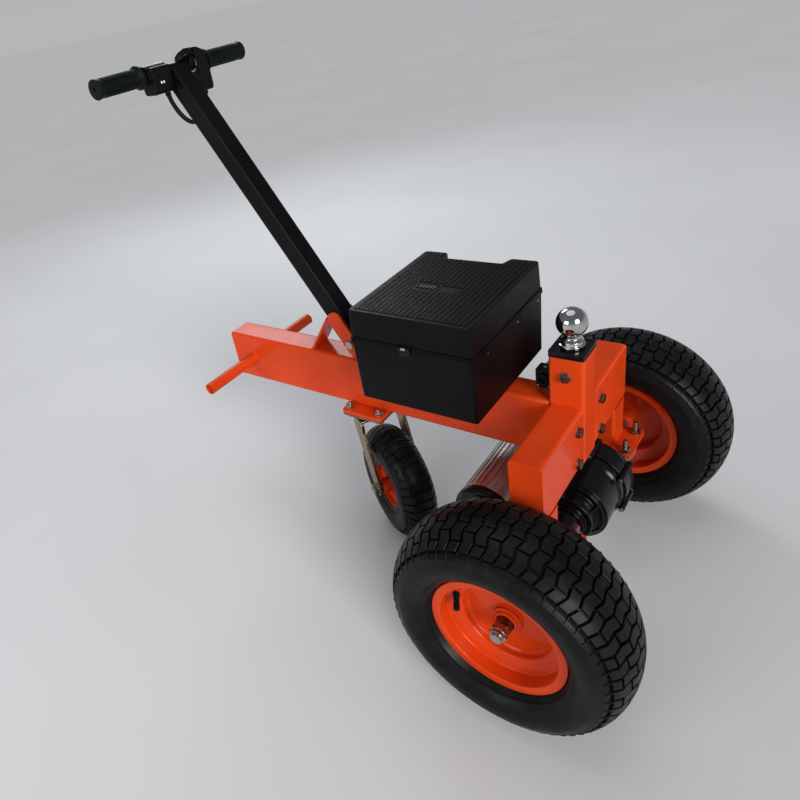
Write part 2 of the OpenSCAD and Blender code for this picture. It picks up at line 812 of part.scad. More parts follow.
module motor_end_bell() {
    placed() color(black) translate([0, motor_y, motor_z]) difference() {
        x_rod(motor_d / 2 + motor_over, motor_x0 - bell_l, motor_x0);
        x_rod(motor_d / 2 - motor_wall, motor_x0 - bell_l + motor_wall, motor_x0 + cut);
        x_rod(motor_shaft_r + bearing_t, motor_x0 - bell_l - cut, motor_x0);
        for (k = [0:bell_rib_count - 1]) rotate([k * 360 / bell_rib_count, 0, 0])
            translate([motor_x0 - bell_l + bell_rib_w, -bell_rib_w / 2, motor_d / 2 - motor_fin_d])
                cube([bell_l - 2 * bell_rib_w, bell_rib_w, motor_d]);
    }
}

// Bearings: plain rings that carry the half shafts, the carrier, the idler and the rotor
bearing_t = 8;
bearing_w = 12;
journal_r = 19;

module bearing_ring(x0, r_in, r_out, w) {
    difference() {
        x_rod(r_out, x0, x0 + w);
        x_rod(r_in + run_gap, x0 - cut, x0 + w + cut);
    }
}

module bearings() {
    placed() color(steel) {
        both_sides() translate([0, 0, axle_z])
            bearing_ring(axle_x1 - bearing_w, shaft_d / 2, axle_tube_d / 2 - axle_wall, bearing_w);
        translate([0, 0, axle_z])
            bearing_ring(drum_x0 + drum_wall - bearing_w, journal_r, axle_tube_d / 2 - axle_wall, bearing_w);
        translate([0, 0, axle_z])
            bearing_ring(case_x1, journal_r, axle_tube_d / 2 - axle_wall, cover_t);
        translate([0, motor_y, motor_z])
            bearing_ring(motor_x0 - bell_l, motor_shaft_r, motor_shaft_r + bearing_t, bearing_w);
        translate([0, motor_y, motor_z])
            bearing_ring(motor_x1 - motor_wall, motor_shaft_r, 2 * motor_shaft_r, motor_wall + case_wall);
    }
}

// Gear train: motor pinion, compound idler and ring gear on the differential carrier
small_teeth = 12;
big_teeth = 48;
gear_span = norm([motor_y, motor_rise]);
gear_dir = atan2(motor_rise, motor_y);
final_module = 2.3;
final_span = (small_teeth + big_teeth) * final_module / 2;
first_module = 2 * (gear_span - final_span) / (small_teeth + big_teeth);
idler_y = final_span * cos(gear_dir);
idler_z = axle_z + final_span * sin(gear_dir);
tooth_share = 0.4;
tip_share = 0.75;
root_share = 1.15;
flank_angle = 20;
gear_room = 3;
gear_gap = 2;
final_x = case_x0 + case_wall + gear_room;
final_w = 12;
first_x = final_x + final_w + gear_gap;
first_w = 8;
idler_pin_r = 6;

module spur(teeth, mod, phase) {
    pitch_r = teeth * mod / 2;
    tip_r = pitch_r + tip_share * mod;
    root_r = pitch_r - root_share * mod;
    half_tip = mod * PI * tooth_share / 2 - tip_share * mod * tan(flank_angle);
    half_root = mod * PI * tooth_share / 2 + root_share * mod * tan(flank_angle);
    rotate(phase) {
        circle(r = root_r);
        for (k = [0:teeth - 1]) rotate(360 * k / teeth)
            polygon([[root_r - mod / 2, -half_root], [tip_r, -half_tip], [tip_r, half_tip],
                [root_r - mod / 2, half_root]]);
    }
}

module diff_carrier() {
    placed() color(steel) translate([0, 0, axle_z]) difference() {
        union() {
            x_rod(journal_r, drum_x0 + drum_wall - bearing_w, case_x1 + cover_t);
            x_rod(drum_r - 2 * drum_wall, drum_x0 + 2 * drum_wall, final_x - hinge_gap);
            along_x(final_x - hinge_gap) linear_extrude(final_w + hinge_gap)
                spur(big_teeth, final_module, gear_dir);
        }
        x_rod(shaft_d / 2 + run_gap, drum_x0 - bearing_w, case_x1 + cover_t + cut);
    }
}

module idler_gear() {
    placed() color(steel) translate([0, idler_y, idler_z]) {
        along_x(final_x) linear_extrude(final_w)
            spur(small_teeth, final_module, gear_dir + 180 + 180 / small_teeth);
        along_x(first_x) linear_extrude(first_w) spur(big_teeth, first_module, gear_dir);
        x_rod(idler_pin_r, case_x0 + cut, case_x1 + cover_t - cut);
    }
}

module motor_rotor() {
    core_r = motor_d / 2 - 2 * motor_wall;
    placed() color(steel) translate([0, motor_y, motor_z]) {
        x_rod(motor_shaft_r, motor_x0 - bell_l + cut, first_x + first_w);
        x_rod(core_r, motor_x0 + 2 * bearing_w, motor_x1 - 3 * motor_wall);
        along_x(first_x) linear_extrude(first_w)
            spur(small_teeth, first_module, gear_dir + 180 + 180 / small_teeth);
    }
}

// Drive wheels: block-tread tyre, pressed rim with a stepped disc, half shaft and fittings
rim_share = 0.314;
rim_half = tyre_w * rim_share;
rim_wall = 3;
rim_lip_h = 11;
rim_lip_r = rim_seat_d / 2 + rim_lip_h;
drop_d = 24.5;
drop_in = 33;
well_in = 25;
drop_r = rim_seat_d / 2 - drop_d;
drop_half = rim_half - drop_in;
well_half = rim_half - well_in;
carcass_t = 9;
side_steps = 14;

// Outline of half a tyre section, from the rim lip over the sidewall to the crown
function side_points(r_lip, r_out, r_seat, half_w, half_bead, n) =
    let (r_mid = (r_out + r_seat) / 2, r_half = (r_out - r_seat) / 2,
        a0 = asin((r_lip - r_mid) / r_half), share = ln(half_bead / half_w) / ln(cos(a0)))
    [for (i = [0:n]) let (a = a0 + (90 - a0) * i / n)
        [r_mid + r_half * sin(a), i == n ? 0 : half_w * pow(cos(a), share)]];

function flip(points) = [for (p = points) [p[0], -p[1]]];

function drop_last(points) = [for (i = [0:len(points) - 2]) points[i]];

module tyre_plan(r_out, half_w, r_seat, r_lip, half_bead, skin) {
    outer = side_points(r_lip, r_out, r_seat, half_w, half_bead, side_steps);
    inner = side_points(r_lip, r_out - skin, r_seat, half_w - skin, half_bead - skin, side_steps);
    polygon(concat(
        [[r_seat, half_bead]], drop_last(outer), back(flip(outer)), [[r_seat, -half_bead]],
        [[r_seat, -half_bead + skin]], drop_last(flip(inner)), back(inner), [[r_seat, half_bead - skin]]));
}

// Shares of the half width and of the depth that place a tread groove, and its lean
groove_shares = [0.30, 0.32, 0.62, 0.8];
groove_lean = 28;

module tread_cuts(r_out, half_w, depth, count) {
    pitch = 360 / count;
    band = half_w * groove_shares[0];
    width = depth * groove_shares[3];
    for (k = [0:count - 1]) rotate([0, 0, k * pitch]) for (s = [-1, 1])
        translate([r_out - depth, -width / 2, s * band - half_w * groove_shares[1]])
            rotate([s * groove_lean, 0, 0]) cube([2 * depth, width, half_w * groove_shares[2]]);
}

module tyre_solid(r_out, half_w, r_seat, r_lip, half_bead, skin, depth, count) {
    rotate([0, 90, 0]) difference() {
        rotate_extrude() tyre_plan(r_out, half_w, r_seat, r_lip, half_bead, skin);
        tread_cuts(r_out, half_w, depth, count);
    }
}

module drive_tyre(x) {
    color(rubber) translate([x, 0, axle_z])
        tyre_solid(tyre_d / 2, tyre_w / 2, rim_seat_d / 2 + run_gap, rim_lip_r,
            rim_half - run_gap, carcass_t, tread_depth, tread_count);
}

// Section of a rim barrel, radius along X and width along Y
module barrel_plan(r_seat, r_lip, half, r_drop, half_drop, half_well, wall) {
    outer = [[r_lip, half], [r_seat, half], [r_seat, half_well], [r_drop, half_drop]];
    inner = [[r_lip, half + wall], [r_seat - wall, half + wall], [r_seat - wall, half_well + wall],
        [r_drop - wall, half_drop + wall]];
    polygon(concat(outer, back(flip(outer)), flip(inner), back(inner)));
}

// Pressed disc: a band of even thickness through the points (radius, place)
module disc_plan(points, wall) {
    polygon(concat(points, back([for (p = points) p + [0, wall]])));
}

// Frame of a wheel: origin in its middle, +X outwards
module on_wheel(side) {
    translate([side * track_half, 0, axle_z]) mirror([side < 0 ? 1 : 0, 0, 0]) children();
}

hub_r = 20;
hub_x0 = 30;
hub_x1 = 12;
collar_r = 23;
disc_x = 2;

// Valve: a rubber stem through the web between the bead seat and the well
valve_r = 4;
valve_l = 36;
valve_in = 5;
valve_turn = 20;
valve_dip = 10;
valve_swing = -32;
valve_x = 21;
valve_at = 87;

module valve_rod(r, x0, x1) {
    rotate([valve_turn, 0, 0]) translate([valve_x, valve_at, 0])
        rotate([0, valve_dip, valve_swing]) x_rod(r, x0, x1);
}

module drive_rim(side) {
    color(orange) on_wheel(side) difference() {
        union() {
            rotate([0, 90, 0]) rotate_extrude() barrel_plan(rim_seat_d / 2, rim_lip_r, rim_half,
                drop_r, drop_half, well_half, rim_wall);
            rotate([0, 90, 0]) rotate_extrude()
                disc_plan([[hub_r - cut, disc_x], [drop_r - rim_wall + cut / 2, disc_x]], rim_wall);
            x_rod(hub_r, -hub_x0, hub_x1);
            x_rod(collar_r, disc_x, hub_x1);
        }
        x_rod(shaft_d / 2 + run_gap, -hub_x0 - cut, hub_x1 + cut);
        valve_rod(valve_r + run_gap, -4 * valve_in, 4 * valve_in);
    }
}

// Half shaft with a threaded end, and its spacer, castle nut and split pin
shaft_in = 4;
shaft_step = 3.5;
shaft_end = 5;
spacer_r = 15;
spacer_l = 20;
nut_af = 27;
nut_h = 11;
nut_top_r = 12;
nut_top_h = 5;
pin_r = 1.6;
pin_l = 30;
nut_x = hub_x1 + spacer_l;
pin_x = nut_x + nut_h + nut_top_h / 2;
shaft_out = nut_x + nut_h + nut_top_h + shaft_end;

module half_shaft(side) {
    color(steel) on_wheel(side) difference() {
        union() {
            x_rod(shaft_d / 2, shaft_in - track_half, hub_x1);
            x_rod(shaft_d / 2 - shaft_step, hub_x1 - cut, shaft_out);
        }
        translate([pin_x, 0, 0]) y_rod(pin_r + run_gap, -shaft_d, shaft_d);
    }
}

module wheel_fittings(side) {
    thread = shaft_d / 2 - shaft_step + run_gap;
    color(steel) on_wheel(side) {
        difference() {
            x_rod(spacer_r, hub_x1, nut_x - run_gap);
            x_rod(thread, hub_x1 - cut, nut_x + cut);
        }
        difference() {
            union() {
                translate([nut_x, 0, 0]) rotate([0, 90, 0]) hex(nut_af, nut_h);
                x_rod(nut_top_r, nut_x + nut_h - cut, nut_x + nut_h + nut_top_h);
            }
            x_rod(thread, nut_x - cut, shaft_out);
            translate([pin_x, 0, 0]) y_rod(pin_r + run_gap, -shaft_d, shaft_d);
        }
        translate([pin_x, 0, 0]) y_rod(pin_r, -pin_l / 2, pin_l / 2);
        valve_rod(valve_r, -valve_in, valve_l - valve_in);
    }
}

module left_tyre() { placed() drive_tyre(-track_half); }
module right_tyre() { placed() drive_tyre(track_half); }
module left_rim() { placed() drive_rim(-1); }
module right_rim() { placed() drive_rim(1); }
module left_shaft() { placed() half_shaft(-1); }
module right_shaft() { placed() half_shaft(1); }
module left_fittings() { placed() wheel_fittings(-1); }
module right_fittings() { placed() wheel_fittings(1); }

// Battery box base, tapered lid with ribs and a notch, batteries and controller
lip_out = 2;
lip_h = 5;
hinge_r = 2.5;
hinge_knuckle_r = 5.5;
hinge_x = box_w / 2 + lip_out + hinge_knuckle_r + hinge_gap;
hinge_z = seam_z;
knuckle_l = 30;
pin_over = 2;

module box_base() {
    placed() color(black) difference() {
        union() {
            translate([-box_w / 2, box_y0, beam_z1]) cube([box_w, box_l, base_h]);
            translate([-box_w / 2 - lip_out, box_y0 - lip_out, seam_z - lip_h])
                cube([box_w + 2 * lip_out, box_l + 2 * lip_out, lip_h]);
            for (s = [-1, 1]) translate([box_w / 2, box_yc + s * box_l / 4 - knuckle_l / 2, hinge_z - lip_h])
                cube([hinge_x - box_w / 2, knuckle_l, lip_h - hinge_gap]);
            for (s = [-1, 1]) translate([hinge_x, box_yc + s * box_l / 4, hinge_z])
                y_rod(hinge_knuckle_r, -knuckle_l / 2, knuckle_l / 2);
        }
        translate([-box_w / 2 + box_wall, box_y0 + box_wall, beam_z1 + box_wall])
            cube([box_w - 2 * box_wall, box_l - 2 * box_wall, base_h]);
        for (s = [-1, 1]) translate([hinge_x, box_yc + s * box_l / 4, hinge_z])
            y_rod(hinge_r + run_gap, -knuckle_l, knuckle_l);
        for (y = box_bolt_y) translate([0, y, beam_z1 - cut])
            cylinder(r = m6_r + weld_gap, h = box_wall + 2 * cut);
    }
}

module box_bolts() {
    placed() color(steel) for (y = box_bolt_y) translate([0, y, beam_z1 + box_wall]) rotate([180, 0, 0])
        bolt(m6_r, m6_af, m6_head, box_wall + tube_wall, m6_af / 2 + washer_t);
}

battery_x = 151;
battery_h = 100;
battery_gap = 2;
battery_room = 1.9;
battery_end = box_bolt_inset + m6_af / 2 + washer_t + battery_room;
battery_y = (box_l - 2 * box_wall - battery_gap) / 2 - battery_end;
terminal_r = 5;
terminal_h = 5;

module batteries() {
    placed() color("#2C2C30") for (s = [-1, 1]) {
        translate([-box_w / 2 + box_wall + battery_gap,
            box_yc + s * (battery_y + battery_gap) / 2 - battery_y / 2, beam_z1 + box_wall])
            cube([battery_x, battery_y, battery_h]);
        for (t = [0.15, 0.85]) translate([-box_w / 2 + box_wall + battery_gap + battery_x * t,
            box_yc + s * (battery_y + battery_gap) / 2, beam_z1 + box_wall + battery_h - cut])
            cylinder(r = terminal_r, h = terminal_h + cut);
    }
}

controller_x = 66;
controller_y = 140;
controller_h = 44;
controller_fins = 6;

module controller() {
    placed() color(alloy) translate([box_w / 2 - box_wall - 2 * battery_gap - controller_x,
        box_yc - controller_y / 2, beam_z1 + box_wall])
        difference() {
            cube([controller_x, controller_y, controller_h]);
            for (k = [1:controller_fins])
                translate([k * controller_x / (controller_fins + 1) - box_wall / 2, -cut,
                    controller_h - 2 * box_wall]) cube([box_wall, controller_y + 2 * cut, 3 * box_wall]);
        }
}

module box_hinge_pin() {
    placed() color(steel) translate([hinge_x, box_yc, hinge_z])
        y_rod(hinge_r, -box_l / 4 - knuckle_l / 2 - pin_over, box_l / 4 + knuckle_l / 2 + pin_over);
}

notch_l = 126;
notch_in = 25;
notch_d = 34;
rib_h = 1.2;
rib_margin = 9;
rib_pitch = (box_l - 2 * rib_margin) / rib_count;
rib_shares = [0.2, 0.6];
notch_shift = 2;

module box_lid() {
    inner_l = box_l / 2 - knuckle_l - 2 * hinge_gap;
    notch_y = box_yc + notch_shift;
    placed() color(black) difference() {
        union() {
            translate([-box_w / 2, box_y0, seam_z + hinge_gap])
                cube([box_w, box_l, lid_h - rib_h - hinge_gap]);
            translate([-box_w / 2 - lip_out, box_y0 - lip_out, seam_z + hinge_gap])
                cube([box_w + 2 * lip_out, box_l + 2 * lip_out, lip_h]);
            translate([box_w / 2, box_yc - inner_l / 2, seam_z + hinge_gap])
                cube([hinge_x - box_w / 2, inner_l, lip_h]);
            translate([hinge_x, box_yc, hinge_z]) y_rod(hinge_knuckle_r, -inner_l / 2, inner_l / 2);
            for (s = [-1, 1]) translate([latch_x, latch_y + s * (latch_w + latch_ear_t) / 2, latch_z]) {
                y_rod(latch_r, -latch_ear_t / 2, latch_ear_t / 2);
                translate([0, -latch_ear_t / 2, -latch_r])
                    cube([latch_r + hinge_gap + lip_out, latch_ear_t, 2 * latch_r]);
            }
            for (k = [0:rib_count - 1])
                translate([-box_w / 2 + rib_margin, box_y0 + rib_margin + (k + rib_shares[0]) * rib_pitch,
                    seam_z + lid_h - rib_h - cut])
                    cube([box_w - 2 * rib_margin, rib_pitch * rib_shares[1], rib_h + cut]);
        }
        difference() {
            translate([-box_w / 2 + box_wall, box_y0 + box_wall, seam_z - cut])
                cube([box_w - 2 * box_wall, box_l - 2 * box_wall, lid_h - box_wall - rib_h + cut]);
            translate([box_w / 2 - notch_in - box_wall, notch_y - notch_l / 2 - box_wall,
                seam_z + lid_h - notch_d - box_wall])
                cube([notch_in + 2 * box_wall, notch_l + 2 * box_wall, notch_d + 2 * box_wall]);
        }
        translate([box_w / 2 - notch_in, notch_y - notch_l / 2, seam_z + lid_h - notch_d])
            cube([2 * notch_in, notch_l, notch_d + cut]);
        translate([hinge_x, box_yc, hinge_z]) y_rod(hinge_r + run_gap, -box_l, box_l);
        translate([latch_x, latch_y, latch_z]) y_rod(latch_pin_r + run_gap, -latch_w, latch_w);
        translate([gauge_x - gauge_w / 2, gauge_y - gauge_l / 2, seam_z + lid_h - 2 * box_wall])
            cube([gauge_w, gauge_l, 3 * box_wall]);
    }
}

// Charge gauge in the lid: bezel with a window, and a plain plate beside it
gauge_w = 27;
gauge_l = 48;
gauge_x = -9;
gauge_back = 149;
gauge_y = box_y0 + gauge_back;

module gauge() {
    placed() color(black) translate([gauge_x - gauge_w / 2 + run_gap,
        gauge_y - gauge_l / 2 + run_gap, seam_z + lid_h - 2 * box_wall])
        cube([gauge_w - 2 * run_gap, gauge_l - 2 * run_gap, 2 * box_wall + rib_h]);
}

// Latch: a small hasp on the lid's near lip that hangs over the seam
latch_w = 22;
latch_drop = 15;
latch_t = 1.5;
latch_r = 2.7;
latch_pin_r = 1.5;
latch_x = -box_w / 2 - lip_out - latch_r - hinge_gap;
latch_shift = 6;
latch_y = box_yc + latch_shift;
latch_z = seam_z + latch_r + hinge_gap;
latch_ear_t = 3;

module box_latch() {
    placed() color(steel) translate([latch_x, latch_y, latch_z]) {
        y_rod(latch_pin_r, -latch_w / 2 - latch_ear_t, latch_w / 2 + latch_ear_t);
        y_rod(latch_r, -latch_w / 2 + hinge_gap, latch_w / 2 - hinge_gap);
        translate([latch_r - latch_t, -latch_w / 2 + hinge_gap, -latch_drop])
            cube([latch_t, latch_w - 2 * hinge_gap, latch_drop]);
    }
}

// Power socket on the back of the post
socket_w = 26;
socket_l = 30;
socket_h = 36;
socket_rise = 14;
socket_boss_r = 10;
socket_bore_r = 7;
socket_boss_l = 6;
socket_corner = 3;
socket_share = 0.55;

module power_socket() {
    placed() color(black) translate([0, post_y1 + socket_l / 2, beam_z1 + socket_rise]) difference() {
        union() {
            linear_extrude(socket_h) round_rect(socket_w, socket_l, socket_corner);
            translate([0, 0, socket_h * socket_share]) x_rod(socket_boss_r, -socket_w / 2 - socket_boss_l, 0);
        }
        translate([0, 0, socket_h * socket_share])
            x_rod(socket_bore_r, -socket_w / 2 - socket_boss_l - cut, -socket_w / 4);
    }
}

// Caster: orange mounting plate, swivel head, fork, axle, tyre and rim
mount_t = 8;
mount_x = 60;
mount_y = 50;
head_t = 5;
race_r = 36;
race_h = 12;
race_gap = 0.3;
crown_t = 6;
crown_z = beam_z0 - mount_t - head_t - race_h - race_gap;
kingpin_r = 8;
fork_gap = 6;
fork_t = 7;
fork_half = caster_w / 2 + fork_gap;
fork_w = 42;
caster_bolt_x = 45;
caster_bolt_y = 37;
caster_axle_r = 7;
caster_axle_z = caster_d / 2;
caster_axle_af = 22;
caster_axle_head = 9;
caster_washer_r = 13;
caster_seat_d = 102;
caster_lip_h = 9;
caster_lip_r = caster_seat_d / 2 + caster_lip_h;
caster_rim_share = 0.34;
caster_rim_half = caster_w * caster_rim_share;
caster_skin = 7;
caster_drop_d = 9;
caster_drop_in = 14;
caster_drop_r = caster_seat_d / 2 - caster_drop_d;
caster_drop_half = caster_rim_half - caster_drop_in;
caster_hub_r = 17;
caster_hub_room = 3;
caster_hub_half = caster_w / 2 + fork_gap - caster_hub_room;
fork_taper = 4;

module caster_bolt_places() {
    for (sx = [-1, 1], sy = [-1, 1])
        translate([sx * caster_bolt_x, caster_y + sy * caster_bolt_y, 0]) children();
}

module caster_mount() {
    placed() color(orange) difference() {
        translate([-mount_x, caster_y - mount_y, beam_z0 - mount_t])
            cube([2 * mount_x, 2 * mount_y, mount_t]);
        caster_bolt_places() translate([0, 0, beam_z0 - mount_t - cut])
            cylinder(r = m10_r + weld_gap, h = mount_t + 2 * cut);
    }
}

module caster_head() {
    placed() color(zinc) difference() {
        union() {
            translate([-mount_x, caster_y - mount_y, beam_z0 - mount_t - head_t])
                cube([2 * mount_x, 2 * mount_y, head_t]);
            translate([0, caster_y, beam_z0 - mount_t - head_t - race_h])
                cylinder(r = race_r, h = race_h + cut);
        }
        caster_bolt_places() translate([0, 0, beam_z0 - mount_t - head_t - cut])
            cylinder(r = m10_r + weld_gap, h = head_t + 2 * cut);
        translate([0, caster_y, crown_z - cut])
            cylinder(r = kingpin_r + run_gap, h = race_h + head_t + 3 * cut);
    }
}

module caster_bolts() {
    placed() color(steel) caster_bolt_places() translate([0, 0, beam_z0 - mount_t - head_t])
        bolt(m10_r, m10_af, m10_head, mount_t + head_t, m10_washer_r);
}

module on_caster() {
    translate([0, caster_y, 0]) rotate([0, 0, caster_turn]) children();
}

module caster_fork() {
    placed() color(zinc) on_caster() {
        translate([0, 0, crown_z - crown_t]) cylinder(r = kingpin_r, h = crown_t + race_h + head_t);
        translate([-fork_w / 2, -fork_half - fork_t, crown_z - crown_t])
            cube([fork_w + fork_taper, 2 * (fork_half + fork_t), crown_t]);
        for (s = [-1, 1]) difference() {
            translate([0, s > 0 ? fork_half + fork_t : -fork_half, 0]) rotate([90, 0, 0])
                linear_extrude(fork_t) {
                    polygon([[-fork_w / 2, crown_z], [fork_w / 2 + fork_taper, crown_z],
                        [caster_trail + fork_w / 2 - fork_taper, caster_axle_z],
                        [caster_trail - fork_w / 2 + fork_taper, caster_axle_z]]);
                    translate([caster_trail, caster_axle_z]) circle(r = fork_w / 2 - fork_taper);
                }
            translate([caster_trail, 0, caster_axle_z])
                y_rod(caster_axle_r + weld_gap, -2 * fork_half, 2 * fork_half);
        }
    }
}

module caster_axle() {
    placed() color(steel) on_caster()
        translate([caster_trail, -fork_half - fork_t, caster_axle_z]) rotate([-90, 0, 0])
            bolt(caster_axle_r, caster_axle_af, caster_axle_head, 2 * (fork_half + fork_t),
                caster_washer_r);
}

module caster_tyre() {
    placed() color(rubber) on_caster() translate([caster_trail, 0, caster_axle_z]) rotate([0, 0, 90])
        tyre_solid(caster_d / 2, caster_w / 2, caster_seat_d / 2 + run_gap, caster_lip_r,
            caster_rim_half - run_gap, caster_skin,
            tread_depth / 2, tread_count);
}

module caster_rim() {
    disc = [[caster_hub_r - cut, 0], [caster_drop_r - 2 * cut, 0]];
    placed() color(orange) on_caster() translate([caster_trail, 0, caster_axle_z])
        rotate([0, 0, 90]) rotate([0, 90, 0]) difference() {
            union() {
                rotate_extrude() barrel_plan(caster_seat_d / 2, caster_lip_r, caster_rim_half,
                    caster_drop_r, caster_drop_half, caster_drop_half + caster_drop_d, rim_wall);
                rotate_extrude() disc_plan(disc, rim_wall);
                translate([0, 0, -caster_hub_half]) cylinder(r = caster_hub_r, h = 2 * caster_hub_half);
            }
            translate([0, 0, -caster_hub_half - cut])
                cylinder(r = caster_axle_r + run_gap, h = 2 * (caster_hub_half + cut));
        }
}

main_beam();
lift_bar();
cross_arms();
legs();
foot_plates();
ball_post();
handle_ears();
handle_brace();
handle_tube();
handlebar();
left_grip();
switch_housing();
throttle_housing();
control_cables();
frame_bolts();
riser_bolt();
u_bolts();
axle_tubes();
diff_housing();
gear_case();
gear_cover();
case_bolts();
motor_body();
motor_end_bell();
bearings();
box_base();
box_bolts();
batteries();
controller();
box_hinge_pin();
power_socket();
caster_mount();
caster_head();
caster_bolts();
ball_riser();
tow_ball();
ball_nut();
left_tyre();
left_rim();
left_shaft();
left_fittings();
right_tyre();
right_rim();
right_shaft();
right_fittings();
caster_fork();
caster_axle();
caster_tyre();
caster_rim();
right_grip();
rocker();
box_lid();
gauge();
box_latch();
diff_carrier();
idler_gear();
motor_rotor();
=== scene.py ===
"""Dresses the walk-behind electric tug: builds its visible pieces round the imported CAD
frame, gives every surface a procedural material, and sets the floor, lights and camera.

Lengths in the settings are in metres. The builders work in millimetres, in the frame of
the part: X across, Y back towards the handle, Z up, origin on the ground.
"""

import bisect
import json
import math

import bmesh
import bpy
from mathutils import Matrix, Vector

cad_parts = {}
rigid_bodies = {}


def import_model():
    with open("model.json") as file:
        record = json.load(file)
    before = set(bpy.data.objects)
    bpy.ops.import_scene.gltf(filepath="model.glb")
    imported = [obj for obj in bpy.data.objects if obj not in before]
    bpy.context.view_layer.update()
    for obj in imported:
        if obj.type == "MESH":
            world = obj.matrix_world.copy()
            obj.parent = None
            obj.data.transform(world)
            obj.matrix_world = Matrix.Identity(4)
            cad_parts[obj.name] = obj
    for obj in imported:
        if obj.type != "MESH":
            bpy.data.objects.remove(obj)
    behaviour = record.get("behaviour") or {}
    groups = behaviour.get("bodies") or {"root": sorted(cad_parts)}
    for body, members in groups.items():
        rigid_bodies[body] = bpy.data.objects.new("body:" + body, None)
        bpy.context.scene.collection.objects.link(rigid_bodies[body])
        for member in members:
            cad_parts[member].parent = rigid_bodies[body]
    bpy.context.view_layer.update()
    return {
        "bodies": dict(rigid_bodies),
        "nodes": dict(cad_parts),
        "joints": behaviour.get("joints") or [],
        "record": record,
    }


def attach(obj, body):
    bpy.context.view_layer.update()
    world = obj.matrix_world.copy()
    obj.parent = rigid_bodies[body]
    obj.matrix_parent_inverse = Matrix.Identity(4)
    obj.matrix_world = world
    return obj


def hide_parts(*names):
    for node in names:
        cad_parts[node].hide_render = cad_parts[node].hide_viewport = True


bl_info = {
    "name": "Electric Tug Dresser",
    "version": (1, 0, 0),
    "blender": (4, 5, 0),
    "location": "View3D > Sidebar > Tug",
    "description": "Builds the looks of a walk-behind electric tug round its CAD frame",
    "category": "Object",
}

MM = 0.001
TINY = 1e-6
# millimetres: reach of a merge, step of a weld's ripples, thickness of a washer
MERGE, RIPPLE, WASHER = 0.002, 2.2, 1.6
# shares: tread of the way from crown to bead, cross groove of the pitch between bars
TREAD_SHARE, GROOVE_SHARE = 0.44, 0.2
X, Y, Z = Vector((1, 0, 0)), Vector((0, 1, 0)), Vector((0, 0, 1))
AXLE = Vector((0, -310, 200))
WHEEL_OUT = 292
POST = Vector((0, -303, 0))
BEAM_TOP = 432
BAR = Vector((0, 490.47, 1018))
MOTOR = Vector((0, -185, 228))
SOCKET = Vector((0, -258, 0))
HINGE_X = 145.8
CASE_RING = 73.5
CASE_ANGLES = [math.radians(a) for a in (95, 150, 205, 250, 295, 330)]
SWIVEL = Vector((0, 126, 0))
SWIVEL_TURN = math.radians(239)
TRAIL = Vector((math.cos(SWIVEL_TURN), math.sin(SWIVEL_TURN), 0))
CASTER_SIDE = Vector((-TRAIL.y, TRAIL.x, 0))
CASTER_HUB = SWIVEL + TRAIL * 54 + Z * 130
# record slots of the materials that aren't slots themselves
SLOTS = {"rim_paint": "orange_paint", "black_gloss": "black_paint", "dark_steel": "zinc_steel",
         **dict.fromkeys(("smooth_plastic", "window", "marks", "pale_marks", "white_marks"),
                         "black_plastic")}
# settings of the caster's tyre, in place of the defaults
CASTER_TYRE = {"radius": 0.13, "half_width": 0.04, "seat": 0.0511, "lip": 0.06,
               "bead_half": 0.0271, "depth": 0.0035, "bars": 40, "rows": 4,
               "sipe": 0.0014, "rib": 0.0009}
# the loaded frame and the materials, filled in by main()
STATE = {}


# ---------------------------------------------------------------- settings

def length(name, description, default):
    """Setting in metres."""
    return bpy.props.FloatProperty(name=name, description=description, default=default,
                                   unit="LENGTH")


def angle(name, description, default):
    """Setting in radians."""
    return bpy.props.FloatProperty(name=name, description=description, default=default,
                                   subtype="ANGLE", unit="ROTATION")


def number(name, description, default, low, high):
    """Whole number between two limits."""
    return bpy.props.IntProperty(name=name, description=description, default=default,
                                 min=low, max=high)


class TugTyreSettings(bpy.types.PropertyGroup):
    """Sizes of a tyre and of its tread."""

    radius: length("Radius", "Outside radius of the tyre", 0.2)
    half_width: length("Half width", "Half of the section width", 0.0774)
    seat: length("Seat radius", "Radius of the bead seat", 0.1016)
    lip: length("Lip radius", "Radius of the rim's lip", 0.1125)
    bead_half: length("Bead half width", "Half of the width across the beads", 0.0488)
    depth: length("Tread depth", "Depth of the tread grooves", 0.0065)
    sipe: length("Sipe width", "Width of the narrow cuts between blocks", 0.0034)
    rib: length("Rib width", "Width of the fine ribs on the shoulder", 0.0016)
    bars: number("Bars", "Tread bars round the tyre, an even number", 58, 24, 90)
    rows: number("Rows", "Half waves of a groove across the tyre, an even number", 8, 2, 12)


class TugTubeSettings(bpy.types.PropertyGroup):
    """Sizes of the welded frame."""

    beam_half: length("Beam half width", "Half of the beam's width", 0.03)
    beam_low: length("Beam underside", "Height of the beam's underside", 0.317)
    beam_top: length("Beam top", "Height of the beam's top", 0.432)
    corner: length("Corner radius", "Outer corner radius of the square tubes", 0.007)
    rake: angle("Handle rake", "Rake of the handle above the horizontal", math.radians(58))


class TugBoxSettings(bpy.types.PropertyGroup):
    """Sizes of the battery box."""

    half_width: length("Half width", "Half of the box's width", 0.138)
    seam: length("Seam height", "Height of the seam under the lid", 0.556)
    top: length("Top height", "Height of the lid's top", 0.615)
    draft: length("Draft", "How far the walls lean in over the height", 0.002)
    ribs: number("Ribs", "Double ribs across the lid", 22, 8, 40)


